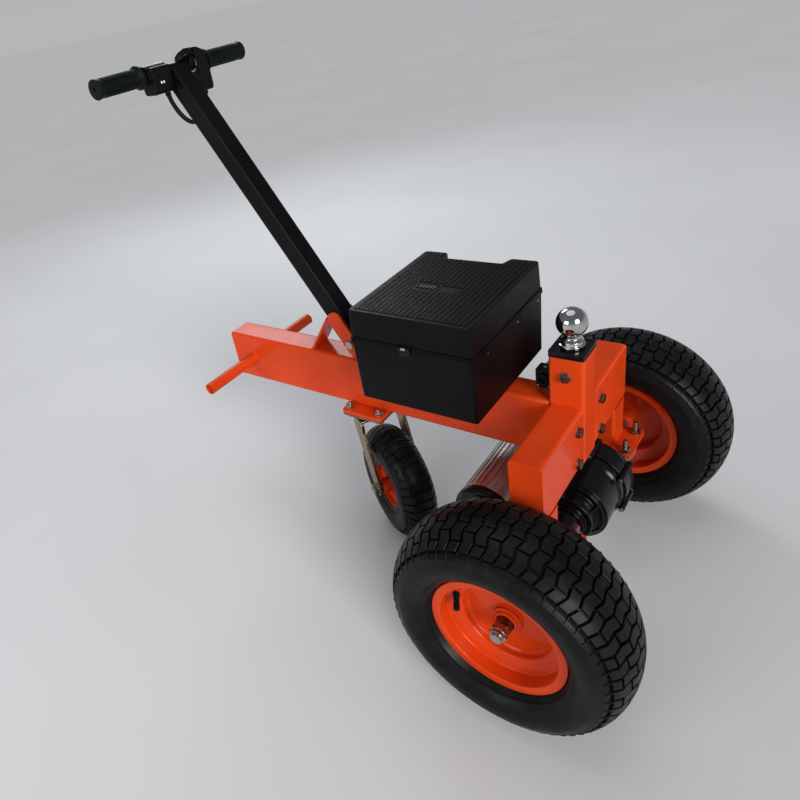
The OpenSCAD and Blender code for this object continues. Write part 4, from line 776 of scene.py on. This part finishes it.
class TUG_OT_frame(bpy.types.Operator):
    """Build the welded orange frame"""

    bl_idname = "tug.frame"
    bl_label = "Build frame"

    def execute(self, context):
        s, sides = context.scene.tug_tube, (-1, 1)
        low, top, half, corner = (v / MM for v in (s.beam_low, s.beam_top, s.beam_half, s.corner))
        mid, tall = (low + top) / 2, top - low
        matrix = handle_place(s)
        # the foot of an ear follows the beam's top, which is slanted in the handle's frame
        slope = 1 / math.tan(s.rake)
        ear = [polar(18, a, 98, -2) for a in sweep(90, -90, 16)]
        ear += [(20 * slope, -20), (-16 * slope, 16)]
        # side outline of the brace: its foot is cut level, and its top along the handle
        lean = math.radians(35)
        back, up, foot = out_at(lean), out_at(lean + math.pi / 2), Vector((0, 260.3, BEAM_TOP))
        ahead = matrix.to_3x3() @ Y
        start = matrix.translation - ahead * 20.2

        def level(b):
            """Distance up the brace at which its plan meets the beam's top."""
            return -back.z * b / up.z

        def on_handle(b):
            """Distance up the brace at which its plan meets the handle."""
            return (start - foot - back * b).dot(ahead) / up.dot(ahead)

        brace = [(-5, level(-5)), (0, level(0)), (0, on_handle(0)), (-5, on_handle(-5))]
        outer, inner = rect(60, 60, corner), rect(52, 52, 3)
        for name, *parts in (
                ("main_beam", (prism, rect(tall, 2 * half, corner), place((0, 0, mid), Z, X),
                               -273, 510, 0.9)),
                ("cross_arms", *((prism, rect(56, tall, corner), facing_x(0, POST.y, mid),
                                  *sorted((side * 30, side * 199)), 0.9) for side in sides)),
                ("legs", *((prism, rect(60, 56, corner), facing_z(side * 169, POST.y),
                            240, low, 0.3, 1) for side in sides)),
                ("foot_plates", *((prism, rect(88, 120, 4, 3), facing_z(side * 160, AXLE.y),
                                   232, 240) for side in sides)),
                ("ball_post", (shell, ((inner, 404), (inner, 521.4), (rect(53.2, 53.2, 3.6), 522),
                                       (rect(58.4, 58.4, corner), 522), (outer, 521.2),
                                       (outer, low)), POST.y)),
                ("lift_bar", (rod, 13, (0, 450, mid), X, -178, 178, 0.8, 40, 10.5)),
                ("handle_ears", *((prism, ear, matrix, *sorted((side * 20.05, side * 25.05)), 0.7)
                                  for side in sides)),
                ("handle_brace", (prism, brace, place(foot, back, up), -25, 25, 0.6)),
                ("caster_mount", (prism, rect(120, 100, 6, 4), facing_z(*SWIVEL),
                                  309, 317, 1.0))):
            make(name + "_dressed", "orange_paint", "frame", *parts)

        # weld beads where the tubes meet: two ends, width and seed of the ripples
        floor = 240.4
        welds = [((-24, y, z), (24, y, z), width, seed) for y, z, width, seed in (
            (255.6, 432.6, 1.7, 9.0), (261.2, 432.6, 1.7, 9.5), (-272.6, top + 0.3, 1.6, 10.0))]
        loops = []
        for side in sides:
            x, x0, x1 = side * 30, side * 139, side * 199
            welds += [((x, -331.5, low + 8), (x, -331.5, top - 8), 1.5, 1.0),
                      ((x, -274.5, top - 8), (x, -326, top + 0.4), 1.4, 2.0),
                      ((x0, -324, floor), (x0, -282, floor), 1.9, 5.0),
                      ((x1, -324, floor), (x1, -282, floor), 1.9, 5.0),
                      ((x0, -324, low - 0.4), (x0, -282, low - 0.4), 1.4, 6.0),
                      ((side * 25.6, 108, 432.4), (side * 25.6, 133, 432.4), 1.6, 8.0)]
            welds += [((side * 147, y, z), (side * 191, y, z), width, seed)
                      for y in (-331.0, -275.0)
                      for z, width, seed in ((low - 0.4, 1.4, 3.0), (floor, 1.9, 4.0))]
            hole = Vector((side * 30.3, 450, mid))
            loops.append((bead, [hole + out_at(a) * 13.6 for a in around(24) + [0]], 1.6, 7.0))
        make("weld_beads", "orange_paint", "frame",
             *((bead, (a, b), width, seed) for a, b, width, seed in welds), *loops,
             crease=60, weighted=False)
        return {"FINISHED"}


class TUG_OT_tow_ball(bpy.types.Operator):
    """Build the tow ball, its neck and the cap of the riser"""

    bl_idname = "tug.tow_ball"
    bl_label = "Build tow ball"

    def execute(self, context):
        ball = [polar(25.4, a, 0, 576) for a in sweep(90, -57, 32)]
        low = ball.pop()
        neck = [low, (13.2, low[1] - 3, 3), (14, 549, 3), (18, 544.5, 1.2), (18, 538.6, 1),
                (21, 538.0, 1), (21, 533.1, 0.6), (0, 533.1, 0)]
        make("tow_ball_dressed", "chrome", "riser",
             (turned, ball + fillet(neck, 1.0, 3, closed=False), POST, Z, 72, False),
             crease=50, weighted=False)
        outer, inner, matrix = rect(60, 60, 4), rect(51, 51, 3), facing_z(*POST)
        make("ball_riser_dressed", "black_gloss", "riser",
             (prism, outer, matrix, 522.2, 531.6, 1.0), (prism, inner, matrix, 406, 521.5, 0.6),
             (shell, ((outer, 531.0), (outer, 532.6), (inner, 533.0), (inner, 531.2)),
              POST.y, False),
             (rod, 22.5, POST, Z, 531, 533.0, 0.5, 8))
        return {"FINISHED"}


# ---------------------------------------------------------------- handle

class TUG_OT_handle(bpy.types.Operator):
    """Build the handle tube, its bar, grips, housings, controls and cables"""

    bl_idname = "tug.handle"
    bl_label = "Build handle"

    def execute(self, context):
        matrix = handle_place(context.scene.tug_tube)
        make("handle_tube_dressed", "black_paint", "frame",
             (prism, rect(40, 40, 4.5), matrix @ facing_x(), 14, 686.5, 0.8))
        welds = []
        for side in (-1, 1):
            arc = [BAR + X * side * 20.2 + out_at(a) * 11.6 for a in sweep(150, 330, 15)]
            welds.append((bead, arc, 1.2, 1.0 + side))
        make("handlebar_dressed", "black_paint", "frame",
             (rod, 11, BAR, X, -187.9, 187.9, 1.0, 40), *welds, crease=50)

        end = 189.9
        for name, body, side, long in (("left_grip", "frame", -1, 102.5),
                                       ("right_grip", "twist_grip", 1, 110)):
            axis, start = X * side, end + 0.1 - long
            sleeve = [(11.1, start), (21.9, start, 1.5), (21.9, start + 4.9, 1.5),
                      (17.2, start + 9, 3), (16.2, start + 16, 1), (16.2, end - 13, 1),
                      (17.2, end - 9, 1), (17.2, end - 4.6, 1), (18.4, end - 4, 0.8),
                      (18.4, end - 0.2, 1.6), (4.0, end, 0.5), (4.0, end - 3, 0.4),
                      (0, end - 3, 0)]
            rib = fillet([(start + 16, -1.7), (end - 14, -1.7), (end - 14, 1.7),
                          (start + 16, 1.7)], 1.5, 3)
            make(name + "_dressed", "black_rubber", body,
                 (turned, fillet(sleeve, 0.8, 2, closed=False), BAR, axis, 56, False),
                 *((prism, rib, place(BAR + out_at(a) * 15.6, axis, out_at(a).cross(axis)),
                    0, 1.75, 0.6) for a in around(16)))

        level = 1006
        make("switch_housing_dressed", "smooth_plastic", "frame",
             (prism, rect(38, 50, 8, 6), facing_x(0, BAR.y, level), -71, -21.6, 2.4, 3),
             (rod, 17.6, BAR, X, -78.4, -24, 2.0, 44),
             *((rod, 2.6, (x, BAR.y - 18.7, z), -Y, 0, 0.28, 0.12, 16)
               for z in (989, 1024) for x in (-65, -29)))
        outline = [(-3.6, 9.0, 1.2), (-6.8, 9.2, 1.2), (-4.0, 0.0, 1.0), (-6.8, -9.2, 1.2),
                   (-3.6, -9.0, 1.2), (1.4, 0.0, 1.0)]
        make("rocker_dressed", "smooth_plastic", "rocker",
             (prism, fillet(outline, 0.8, 2), facing_x(0, BAR.y - 15.0, level),
              -57.5, -42.5, 0.6))
        make("rocker_marks", "white_marks", "rocker",
             *((prism, rect(3.4, 4.6, 0.5, 2), place((x, BAR.y - 21.3, 1002), X, (0, 0.3, 1)),
                -0.4, 0.45, 0.1, 1) for x in (-54.6, -48.6)))

        plan = [(48, -54, 4), (48, 30, 5), (55.6, 30, 9), (78.5, 18, 4), (78.5, -46, 6),
                (75.4, -54, 5)]
        web = [(36, 2, 1), (50, -8, 1), (58, 4, 4), (56, 30, 6), (44, 26, 4)]
        front = place((0, BAR.y + 19, BAR.z), X, Z)
        up, dial = out_at(math.radians(55)), Vector((35, BAR.y, 1032.2))
        collar = fillet([(16.0, 6.0), (19.6, 6.0), (19.2, 6.9), (16.8, 6.9)], 0.3, 2)
        make("throttle_housing_dressed", "smooth_plastic", "frame",
             (prism, fillet(plan, 3, 4), front, 0.1, 37.9, 4.0, 4),
             (rod, 15.9, BAR, X, 46.6, 60, 0.8, 44), (rod, 20.9, dial, up, -6.9, 6.3, 2.2, 56),
             (turned, collar, dial, up, 56), (prism, fillet(web, 2, 3), front, 6, 30, 3.0, 3))
        # chrome band over the end of the throttle housing's collar: a painted highlight that stands
        # in for the lit edge of that plastic end face
        collar = fillet([(13.4, 46.05), (15.8, 46.05, 0.3), (15.95, 47.6), (13.4, 47.6)], 0.2, 2)
        make("throttle_edge_highlight", "chrome", "frame", (turned, collar, BAR, X, 48))
        make("dial_window", "window", "frame", (rod, 16.4, dial, up, 6.0, 6.6, 0.2, 48))
        across = Vector((0, -up.z, up.y))
        make("dial_marks", "marks", "frame",
             *((prism, rect(2.6, 3.0 + k, 0.4, 2),
                place(dial + X * (4 * k - 8) + across * (k / 2 - 1), -X, across),
                6.3, 6.72, 0.05, 1) for k in range(5)))
        cables, rear = [], matrix.to_3x3() @ -Y
        for x, z, side in ((66.3, 963.8, 1), (-30.05, 980.8, -1)):
            leave = Vector((x, BAR.y, z))
            bend, end, seal = (matrix @ Vector((587, ahead, side * 9)) for ahead in (-50, -19, -20))
            cables += [(swept, bezier(leave, leave - Z * 30, bend, end, 28), 4.6, 14),
                       (rod, 5.6, leave, -Z, -2, 8, 1.0, 20),
                       (rod, 6.4, seal, rear, -0.4, 2.2, 0.8, 24)]
        make("control_cables_dressed", "black_rubber", "frame", *cables, crease=50,
             weighted=False)
        return {"FINISHED"}


# ---------------------------------------------------------------- battery box

class TUG_OT_battery_box(bpy.types.Operator):
    """Build the battery box, its ribbed lid, gauge, latch and screws"""

    bl_idname = "tug.battery_box"
    bl_label = "Build battery box"

    def execute(self, context):
        s = context.scene.tug_box
        half, seam, top, draft = (v / MM for v in (s.half_width, s.seam, s.top, s.draft))
        y0, y1 = -196.0, 45.0
        yc, deep_y = (y0 + y1) / 2, y1 - y0

        def plan(more, corner):
            """Outline of the box, wider all over by half of what is given."""
            return rect(2 * half + more, deep_y + more, corner)

        def taper(bm, low, high, floor_share, roof_share):
            """Lean the walls in, by a share of the draft below and a share above."""
            for v in bm.verts:
                t = (v.co.z - low) / (high - low)
                pull = draft * (floor_share * (1 - t) + roof_share * t)
                x, y = abs(v.co.x), abs(v.co.y - yc)
                v.co.x -= math.copysign(min(x, pull), v.co.x) * min(x / half, 1)
                v.co.y -= math.copysign(pull, v.co.y - yc) * min(y / (y1 - yc), 1)

        # base: open box with a rim and one leaf and barrel at each end of the hinge
        outer, inner, wide = plan(0, 6), plan(-6, 4), plan(4, 7)
        leaves = []
        for side in (-1, 1):
            y = yc + side * 60.25
            leaves += [(prism, rect(7.8, 30, 0.6, 2), facing_z(half + 3.9, y), seam - 5,
                        seam - 0.3, 0.3),
                       (rod, 5.5, (HINGE_X, y, seam), Y, -15, 15, 0.6, 24, 2.6)]
        make("box_base_dressed", "black_plastic", "frame",
             (shell, ((inner, 435), (inner, seam - 0.2), (wide, seam - 0.2), (wide, seam - 4.4),
                      (outer, seam - 5.6), (outer, 433.0), (plan(-2.4, 5), 432.0)), yc),
             (taper, 432, seam, 1.0, 0.0), *leaves)

        # lid: notched shell, open below; the notch ends at a step, and is filled out below it
        bm = bmesh.new()
        n0, n1, deep, step, wall = -136.5, -10.5, 25.0, 581.0, 3
        outline = fillet([(-half, y0, 8), (half, y0, 8), (half, n0 - 5, 7),
                          (half - deep, n0 + 3, 5), (half - deep, n1 - 3, 5), (half, n1 + 5, 7),
                          (half, y1, 8), (-half, y1, 8)], 7, 6)
        inside = fillet([(wall - half, y0 + wall), (half - wall, y0 + wall),
                         (half - wall, n0 - 8), (half - deep - wall, n0, 4),
                         (half - deep - wall, n1, 4), (half - wall, n1 + 8),
                         (half - wall, y1 - wall), (wall - half, y1 - wall)], 5, 6)

        def filled(points, edge):
            """The outline with its notch filled out to an edge."""
            return [(edge if x > 0 and n0 - 14 < y < n1 + 14 else x, y) for x, y in points]

        def inset(points, by):
            """The outline drawn in."""
            drawn = []
            for before, here, after in zip(points[-1:] + points, points, points[1:] + points[:1]):
                along = (Vector(after) - Vector(before)).normalized()
                drawn.append((here[0] - along.y * by, here[1] + along.x * by))
            return drawn

        room = filled(inside, half - wall)
        shell(bm, [(inside, top - 5.2), (inside, step - 3), (room, step - 3), (room, seam + 0.3),
                   (filled(outline, half), seam + 0.3), (filled(outline, half), step),
                   (outline, step), (outline, top - 4.2), (inset(outline, 0.3), top - 2.6),
                   (inset(outline, 1.0), top - 1.6), (inset(outline, 2.0), top - 1.2)])
        # double ribs across the top, broken off round the gauge
        pitch = (deep_y - 18) / s.ribs
        for k in range(s.ribs):
            y = y0 + 9 + (k + 0.5) * pitch
            first, last = 8 - half, half - (deep + 7 if n0 - 10 < y < n1 + 10 else 8)
            spans = [(first, last)]
            if -118 < y < -20:
                spans = [(first, -33), (1 if y > -80 else -5, last)]
            for a, b in spans:
                for low, high in ((y - pitch * 0.4, y - 0.25), (y + 0.25, y + pitch * 0.4)):
                    section = fillet([(low, top - 2.2, 0), (high, top - 2.2, 0), (high, top),
                                      (low, top)], 0.5, 3)
                    prism(bm, section, facing_x(), a, b, 0.3)
        taper(bm, seam, top, 0.0, 1.0)
        lip, soft, edge = plan(-2, 6), plan(2.8, 7.4), plan(4, 8)
        shell(bm, ((lip, seam + 0.3), (soft, seam + 0.3), (edge, seam + 0.9), (edge, seam + 4.4),
                   (soft, seam + 5.0), (lip, seam + 5.0)), yc, False, True)
        prism(bm, rect(6.8, 89.9, 0.6, 2), facing_z(half + 3.4, yc), seam + 0.3, seam + 5.2, 0.3)
        rod(bm, 5.5, (HINGE_X, yc, seam), Y, -44.9, 44.9, 0.6, 24, 2.6)
        pin = Vector((-143.0, -69.5, seam + 3.0))
        for side in (-1, 1):
            ear = pin + Y * side * 12.5
            rod(bm, 2.7, ear, Y, -1.5, 1.5, 0.3, 16)
            prism(bm, rect(4.4, 3, 0.3, 2), facing_z(-141.2, ear.y), seam + 0.4, seam + 5.6, 0.2)
        dress("box_lid_dressed", bm, "black_plastic", "lid")

        # gauge: bezel, window and a plain pattern of bars
        tongue = fillet([(-30, -114, 3), (-12, -114, 7), (-8, -104, 5), (-8, -78, 2),
                         (-30, -78, 2)], 2, 3)
        gauge = facing_z(-16, -50)
        make("gauge_bezel", "smooth_plastic", "lid",
             (prism, rect(30, 50, 3, 4), gauge, top - 3.0, top - 0.3),
             (prism, tongue, facing_z(), top - 3.0, top - 0.5), nodes=["gauge"])
        make("gauge_window", "window", "lid",
             (prism, rect(24, 41, 1.5, 3), gauge, top - 1.0, top - 0.12, 0.3))
        for name, look, bars in (("gauge_low_marks", "marks", (0, 1)),
                                 ("gauge_marks", "pale_marks", (2, 3, 4))):
            make(name, look, "lid",
                 *((prism, rect(12, 4.0, 0.5, 2), facing_z(-15, -64 + k * 7), top - 0.6,
                    top - 0.04, 0.05, 1) for k in bars))

        # latch, and the small screws under the seam
        make("box_latch_dressed", "zinc_steel", "latch", (rod, 1.5, pin, Y, -14, 14, 0.3, 16),
             (rod, 2.6, pin, Y, -4.6, 4.6, 0.3, 20))
        make("latch_plate", "black_gloss", "latch",
             *((rod, 2.6, pin, Y, a, b, 0.3, 20) for a, b in ((-10.6, -4.8), (4.8, 10.6))),
             (prism, rect(21.2, 15, 2.5, 3), place(pin + Vector((2.7, 0, -7.6)), Y, Z),
              -1.5, 0, 0.35),
             (rod, 3.2, pin + Vector((1.3, 0, -9)), -X, 0, 1.0, 0.5, 20), slot="zinc_steel")
        make("box_screws", "zinc_steel", "frame",
             *((rod, 2.6, (x, y0 + 0.2, seam - 12), -Y, -1, 1.3, 0.6, 16) for x in (-86, 29, 116)))
        return {"FINISHED"}


class TUG_OT_socket(bpy.types.Operator):
    """Build the power socket on the beam"""

    bl_idname = "tug.socket"
    bl_label = "Build power socket"

    def execute(self, context):
        spot = SOCKET + Z * 465.8
        rim = fillet([(7, 6), (10, 6, 1), (10, 18.9, 1.2), (7, 18.9, 0.8)], 0.6, 2)
        make("power_socket_dressed", "smooth_plastic", "frame",
             (prism, rect(26, 30, 3, 4), facing_z(*SOCKET), 446, 481.4, 1.4, 3),
             (turned, rim, spot, -X, 36), (rod, 7, spot, -X, 5, 8, 0.3, 28))
        make("socket_screws", "zinc_steel", "frame",
             *((rod, 1.9, (-13, y, 450.5), -X, -1, 0.9, 0.4, 16) for y in (-268, -248)),
             (rod, 3.6, (0, -256, 481.2), Z, -1, 0.75, 0.3, 20))
        return {"FINISHED"}


# ---------------------------------------------------------------- drive unit

def case_outline(r0, r1):
    """Outline of the gear case: a belt round the axle (r0) and the motor (r1)."""
    span = math.hypot(125, 28)
    turn, wrap = math.atan2(28, 125), math.pi / 2 - math.asin((r0 - r1) / span)
    big = [polar(r0, wrap + turn + 2 * (math.pi - wrap) * k / 32) for k in range(33)]
    return big + [polar(r1, wrap * (k / 12 - 1) + turn, 125, 28) for k in range(25)]


def lugs(x0, x1):
    """Bosses of the case bolts."""
    return [(rod, 6.0, AXLE + out_at(a) * CASE_RING, X, x0, x1, 0.8, 24) for a in CASE_ANGLES]


class TUG_OT_drive_unit(bpy.types.Operator):
    """Build the transaxle, the gear case and the motor"""

    bl_idname = "tug.drive_unit"
    bl_label = "Build drive unit"

    def execute(self, context):
        block = fillet([(-36, 181), (36, 181), (36, 232), (-36, 232)], 3, 3)
        tubes = []
        for side, inner in ((-1, 66), (1, 98)):
            section = [(25, inner), (30, inner), (30, 211, 1.2), (25, 211, 0.8)]
            tubes += [(turned, fillet(section, 0.6, 2), AXLE, X * side, 48),
                      (prism, block, facing_x(0, AXLE.y), *sorted((side * 118, side * 202)), 1.2)]
        make("axle_tubes_dressed", "black_gloss", "frame", *tubes)

        section = [(25, -66, 0.8), (35, -66, 1.5), (35, -54, 2.5), (46, -54, 2.5), (46, -40, 2),
                   (49, -40, 1.5), (49, -30, 2.5), (59, -30, 3), (59, -25, 1.5), (64, -25, 4),
                   (64, 38, 1.5), (68, 42, 1), (68, 56, 0.4), (25, 56, 0)]
        web = fillet([(-52, 0), (-26, 0), (-26, 18), (-30, 18), (-52, 5)], 1.0, 2)
        make("diff_housing_dressed", "black_gloss", "frame",
             (turned, fillet(section, 1.0, 4), AXLE, X, 96), *lugs(44, 56),
             *((prism, web, place(AXLE + out_at(a) * 40, X, out_at(a)), -1.6, 1.6, 0.5)
               for a in around(6, 0.5)))
        for name, x0, x1 in (("gear_case", 56, 91.9), ("gear_cover", 92.1, 98)):
            make(name + "_dressed", "black_gloss", "frame",
                 (prism, case_outline(71.8, 55.8), facing_x(*AXLE), x0, x1, 1.4, 3),
                 *lugs(x0, x1))

        # each fin of the motor is a step out and back in the outline
        count = 30
        fins = [polar(r, 2 * math.pi * (k + share) / count) for k in range(count)
                for share, r in ((0.0, 52.2), (0.16, 54.9), (0.62, 54.9), (0.78, 52.2))]
        make("motor_body_dressed", "alloy", "frame",
             (prism, fins, facing_x(*MOTOR), -114, 50, 0.4, 1),
             (rod, 54.8, MOTOR, X, -120, -113, 1.0, 72), (rod, 54.8, MOTOR, X, 49, 56, 1.0, 72))
        section = [(15, -138, 0.8), (44, -138), (50, -136.5), (55.6, -131), (55.8, -120.2, 0.6),
                   (15, -120.2, 0)]
        web = fillet([(-137.9, 0), (-130, 0), (-130, 29), (-133, 29), (-137.9, 19)], 0.8, 2)
        make("motor_end_bell_dressed", "black_gloss", "frame",
             (turned, fillet(section, 3, 3), MOTOR, X, 72),
             *((prism, web, place(MOTOR + out_at(a) * 24, X, out_at(a)), -1.0, 1.0, 0.3)
               for a in around(24)))
        return {"FINISHED"}


# ---------------------------------------------------------------- caster

class TUG_OT_caster(bpy.types.Operator):
    """Build the caster's head, fork and axle"""

    bl_idname = "tug.caster"
    bl_label = "Build caster"

    def execute(self, context):
        race = [(8.1, 292), (30, 292, 2), (36, 295, 3), (36, 300, 2), (33, 304.5, 1), (8.1, 304.5)]
        make("caster_head_dressed", "yellow_zinc", "frame",
             (prism, rect(120, 100, 6, 4), facing_z(*SWIVEL), 304, 308.9),
             (turned, fillet(race, 0.8, 3), SWIVEL, Z, 64))

        foot = [polar(17, a, 54, 130) for a in sweep(-170, -10, 12)[1:]]
        leg = ([(-13, 291.2), (-21, 283), (-21, 262), (37.2, 126.5)] + foot
               + [(71, 140), (25, 262), (25, 283), (17, 291.2)])
        make("caster_fork_dressed", "yellow_zinc", "caster_frame",
             (rod, 8, SWIVEL, Z, 286, 308.8),
             (prism, rect(46, 106, 7, 5), place(SWIVEL + TRAIL * 2, TRAIL, CASTER_SIDE),
              285.8, 291.8, 2.4, 4),
             *((prism, fillet(leg, 3.0, 3), place(SWIVEL + CASTER_SIDE * out, TRAIL, Z),
                0.05, 6.95, 1.4, 3) for out in (53, -46)))
        make("caster_axle_dressed", "zinc_steel", "caster_frame",
             (bolt, CASTER_HUB - CASTER_SIDE * 53, CASTER_SIDE, 106, 7.0, 22.0, 9.0, 13.0, 15.0))
        return {"FINISHED"}


# ---------------------------------------------------------------- fasteners

class TUG_OT_fasteners(bpy.types.Operator):
    """Build the bolts, nuts and U-bolts"""

    bl_idname = "tug.fasteners"
    bl_label = "Build fasteners"

    def execute(self, context):
        bm, heads = bmesh.new(), bmesh.new()
        for x in (-55, 55):
            for z in (336, 402):
                bolt(bm, (x, -331, z), Y, 56, heads=heads)
        bolt(bm, handle_place(context.scene.tug_tube) @ Vector((40, 0, -25.05)), X, 50.1)
        dress("frame_bolts_dressed", bm, "zinc_steel")
        dress("frame_bolt_heads", heads, "dark_steel")
        bm, heads = bmesh.new(), bmesh.new()
        bolt(bm, POST + Vector((-30, 0, 489)), X, 60, heads=heads)
        dress("riser_bolt_head", heads, "dark_steel")
        dress("riser_bolt_dressed", bm, "zinc_steel")

        parts, reach, seat = [], 46, 240
        for x in (-126, -190, 126, 190):
            ends = [Vector((x, AXLE.y + y, seat)) for y in (-reach, reach)]
            bend = [AXLE + X * x + out_at(a) * reach for a in sweep(180, 360, 24)]
            parts.append((swept, [ends[0], *bend, ends[1]], 4.9, 16))
            for end in ends:
                parts += [(washer, 10, end, Z), (hex_nut, 17, 6.5, end, Z, WASHER, False),
                          (turned, threads(4.9, -2, 25.8), end, Z, 24, False)]
        make("u_bolts_dressed", "zinc_steel", "frame", *parts, crease=40)
        make("case_bolts_dressed", "zinc_steel", "frame",
             *((bolt, AXLE + X * 44 + out_at(a) * CASE_RING, X, 54, 2.5, 8.0, 3.5, 4.0, 5.5)
               for a in CASE_ANGLES))
        make("caster_bolts_dressed", "zinc_steel", "frame",
             *((bolt, (x, y, 304), Z, 13) for x in (-45, 45) for y in (89, 163)))
        return {"FINISHED"}


# ---------------------------------------------------------------- CAD nodes and stage

class TUG_OT_dress_nodes(bpy.types.Operator):
    """Give each CAD node that stays in view the material of its slot"""

    bl_idname = "tug.dress_nodes"
    bl_label = "Dress CAD nodes"

    def execute(self, context):
        frame = STATE["frame"]
        slots = {p["node"]: p["material_slot"] for p in frame["record"]["subparts"]}
        for name, node in frame["nodes"].items():
            if name not in slots:
                raise RuntimeError("no slot for " + name)
            node.data.materials.clear()
            node.data.materials.append(STATE["materials"][slots[name]])
        return {"FINISHED"}


class TUG_OT_stage(bpy.types.Operator):
    """Set the floor, the studio light and the camera"""

    bl_idname = "tug.stage"
    bl_label = "Set stage"

    def execute(self, context):
        scene, s = context.scene, context.scene.tug_stage
        bm = bmesh.new()
        bmesh.ops.create_grid(bm, x_segments=1, y_segments=1, size=90.0)
        mesh = bpy.data.meshes.new("floor")
        bm.to_mesh(mesh)
        bm.free()
        floor = bpy.data.objects.new("floor", mesh)
        scene.collection.objects.link(floor)
        material, tree, shader, coords = new_material("Floor")
        tone = ramp(tree, noise(tree, coords, 1.2, 3.0), (0.66, 0.67, 0.69), (0.69, 0.70, 0.72))
        tree.links.new(tone, shader.inputs["Base Color"])
        shader.inputs["Roughness"].default_value = 0.8
        shader.inputs["Specular IOR Level"].default_value = 0.15
        mesh.materials.append(material)

        # the world is as pale as the floor at the horizon, and dimmer overhead
        world = bpy.data.worlds.new("Studio")
        scene.world = world
        world.use_nodes = True
        tree = world.node_tree
        sky = tree.nodes.new("ShaderNodeTexCoord").outputs["Generated"]
        split = add(tree, "ShaderNodeSeparateXYZ", {"Vector": sky}, {})
        glow = ramp(tree, split.outputs["Z"], (0.455, 0.465, 0.475), (0.17, 0.18, 0.19),
                    0.03, 0.32)
        sockets = tree.nodes["Background"].inputs
        tree.links.new(glow, sockets["Color"])
        sockets["Strength"].default_value = 1.0

        middle = Vector((0, -0.1, 0.4))

        def lamp(name, kind, spot, energy, colour, size):
            """Lamp that looks at the middle: size is an angle for a sun, and two sides else."""
            data = bpy.data.lights.new(name, kind)
            data.energy, data.color = energy, colour
            if kind == "AREA":
                data.shape, data.size, data.size_y = "RECTANGLE", *size
            else:
                data.angle = math.radians(size)
            item = bpy.data.objects.new(name, data)
            item.location = spot
            item.rotation_euler = (middle - Vector(spot)).to_track_quat("-Z", "Y").to_euler()
            scene.collection.objects.link(item)

        lamp("key", "SUN", (-1.5, -2.75, 1.7), 2.7, (1.0, 0.98, 0.95), 28)
        lamp("side", "AREA", (-2.7, 0.7, 1.4), 20, (1.0, 0.98, 0.96), (1.4, 1.0))
        lamp("rim", "AREA", (1.9, 2.2, 2.2), 26, (0.94, 0.97, 1.0), (1.2, 1.2))
        lamp("top", "SUN", (0.3, 0.4, 3.2), 0.45, (1, 1, 1), 50)

        data = bpy.data.cameras.new("camera")
        camera = bpy.data.objects.new("camera", data)
        scene.collection.objects.link(camera)
        a, e, roll = s.yaw, s.pitch, s.roll
        back = Vector((math.sin(a) * math.cos(e), -math.cos(a) * math.cos(e), math.sin(e)))
        right = (-back).cross(Z).normalized()
        up = right.cross(-back)
        x = right * math.cos(roll) + up * math.sin(roll)
        y = up * math.cos(roll) - right * math.sin(roll)
        turn = Matrix((x, y, back)).transposed()
        camera.matrix_world = Matrix.Translation(Vector(s.place)) @ turn.to_4x4()
        data.sensor_width = 36.0
        data.lens = s.focal
        data.shift_x, data.shift_y = s.shift
        data.clip_start, data.clip_end = 0.05, 300.0
        scene.camera = camera
        scene.view_settings.view_transform = "Standard"
        return {"FINISHED"}


class TUG_PT_panel(bpy.types.Panel):
    """Buttons for each group of pieces"""

    bl_idname = "TUG_PT_panel"
    bl_label = "Electric Tug"
    bl_space_type = "VIEW_3D"
    bl_region_type = "UI"
    bl_category = "Tug"

    def draw(self, context):
        for operator in OPERATORS:
            self.layout.operator(operator.bl_idname)


SETTINGS = {"tug_tyre": TugTyreSettings, "tug_caster_tyre": TugTyreSettings,
            "tug_tube": TugTubeSettings, "tug_box": TugBoxSettings,
            "tug_stage": TugStageSettings}
OPERATORS = (TUG_OT_tyres, TUG_OT_rims, TUG_OT_frame, TUG_OT_tow_ball, TUG_OT_handle,
             TUG_OT_battery_box, TUG_OT_socket, TUG_OT_drive_unit, TUG_OT_caster,
             TUG_OT_fasteners, TUG_OT_dress_nodes, TUG_OT_stage)
CLASSES = (*dict.fromkeys(SETTINGS.values()), *OPERATORS, TUG_PT_panel)


def register():
    """Register the classes and hang the settings on the scene."""
    for cls in CLASSES:
        bpy.utils.register_class(cls)
    for name, cls in SETTINGS.items():
        setattr(bpy.types.Scene, name, bpy.props.PointerProperty(type=cls))


def unregister():
    """Undo register()."""
    for name in SETTINGS:
        delattr(bpy.types.Scene, name)
    for cls in reversed(CLASSES):
        bpy.utils.unregister_class(cls)


def corners(pair):
    """Two corners as plain lists."""
    return [[float(v) for v in corner] for corner in pair]


def main():
    """Empty the scene, load the frame and run every operator."""
    for item in list(bpy.data.objects):
        bpy.data.objects.remove(item)
    STATE["frame"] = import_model()
    register()
    STATE["materials"] = make_materials()
    for name, value in CASTER_TYRE.items():
        setattr(bpy.context.scene.tug_caster_tyre, name, value)
    for operator in OPERATORS:
        group, name = operator.bl_idname.split(".")
        done = getattr(getattr(bpy.ops, group), name)()
        if done != {"FINISHED"}:
            raise RuntimeError(operator.bl_idname + " did not finish")


if __name__ == "__main__":
    main()
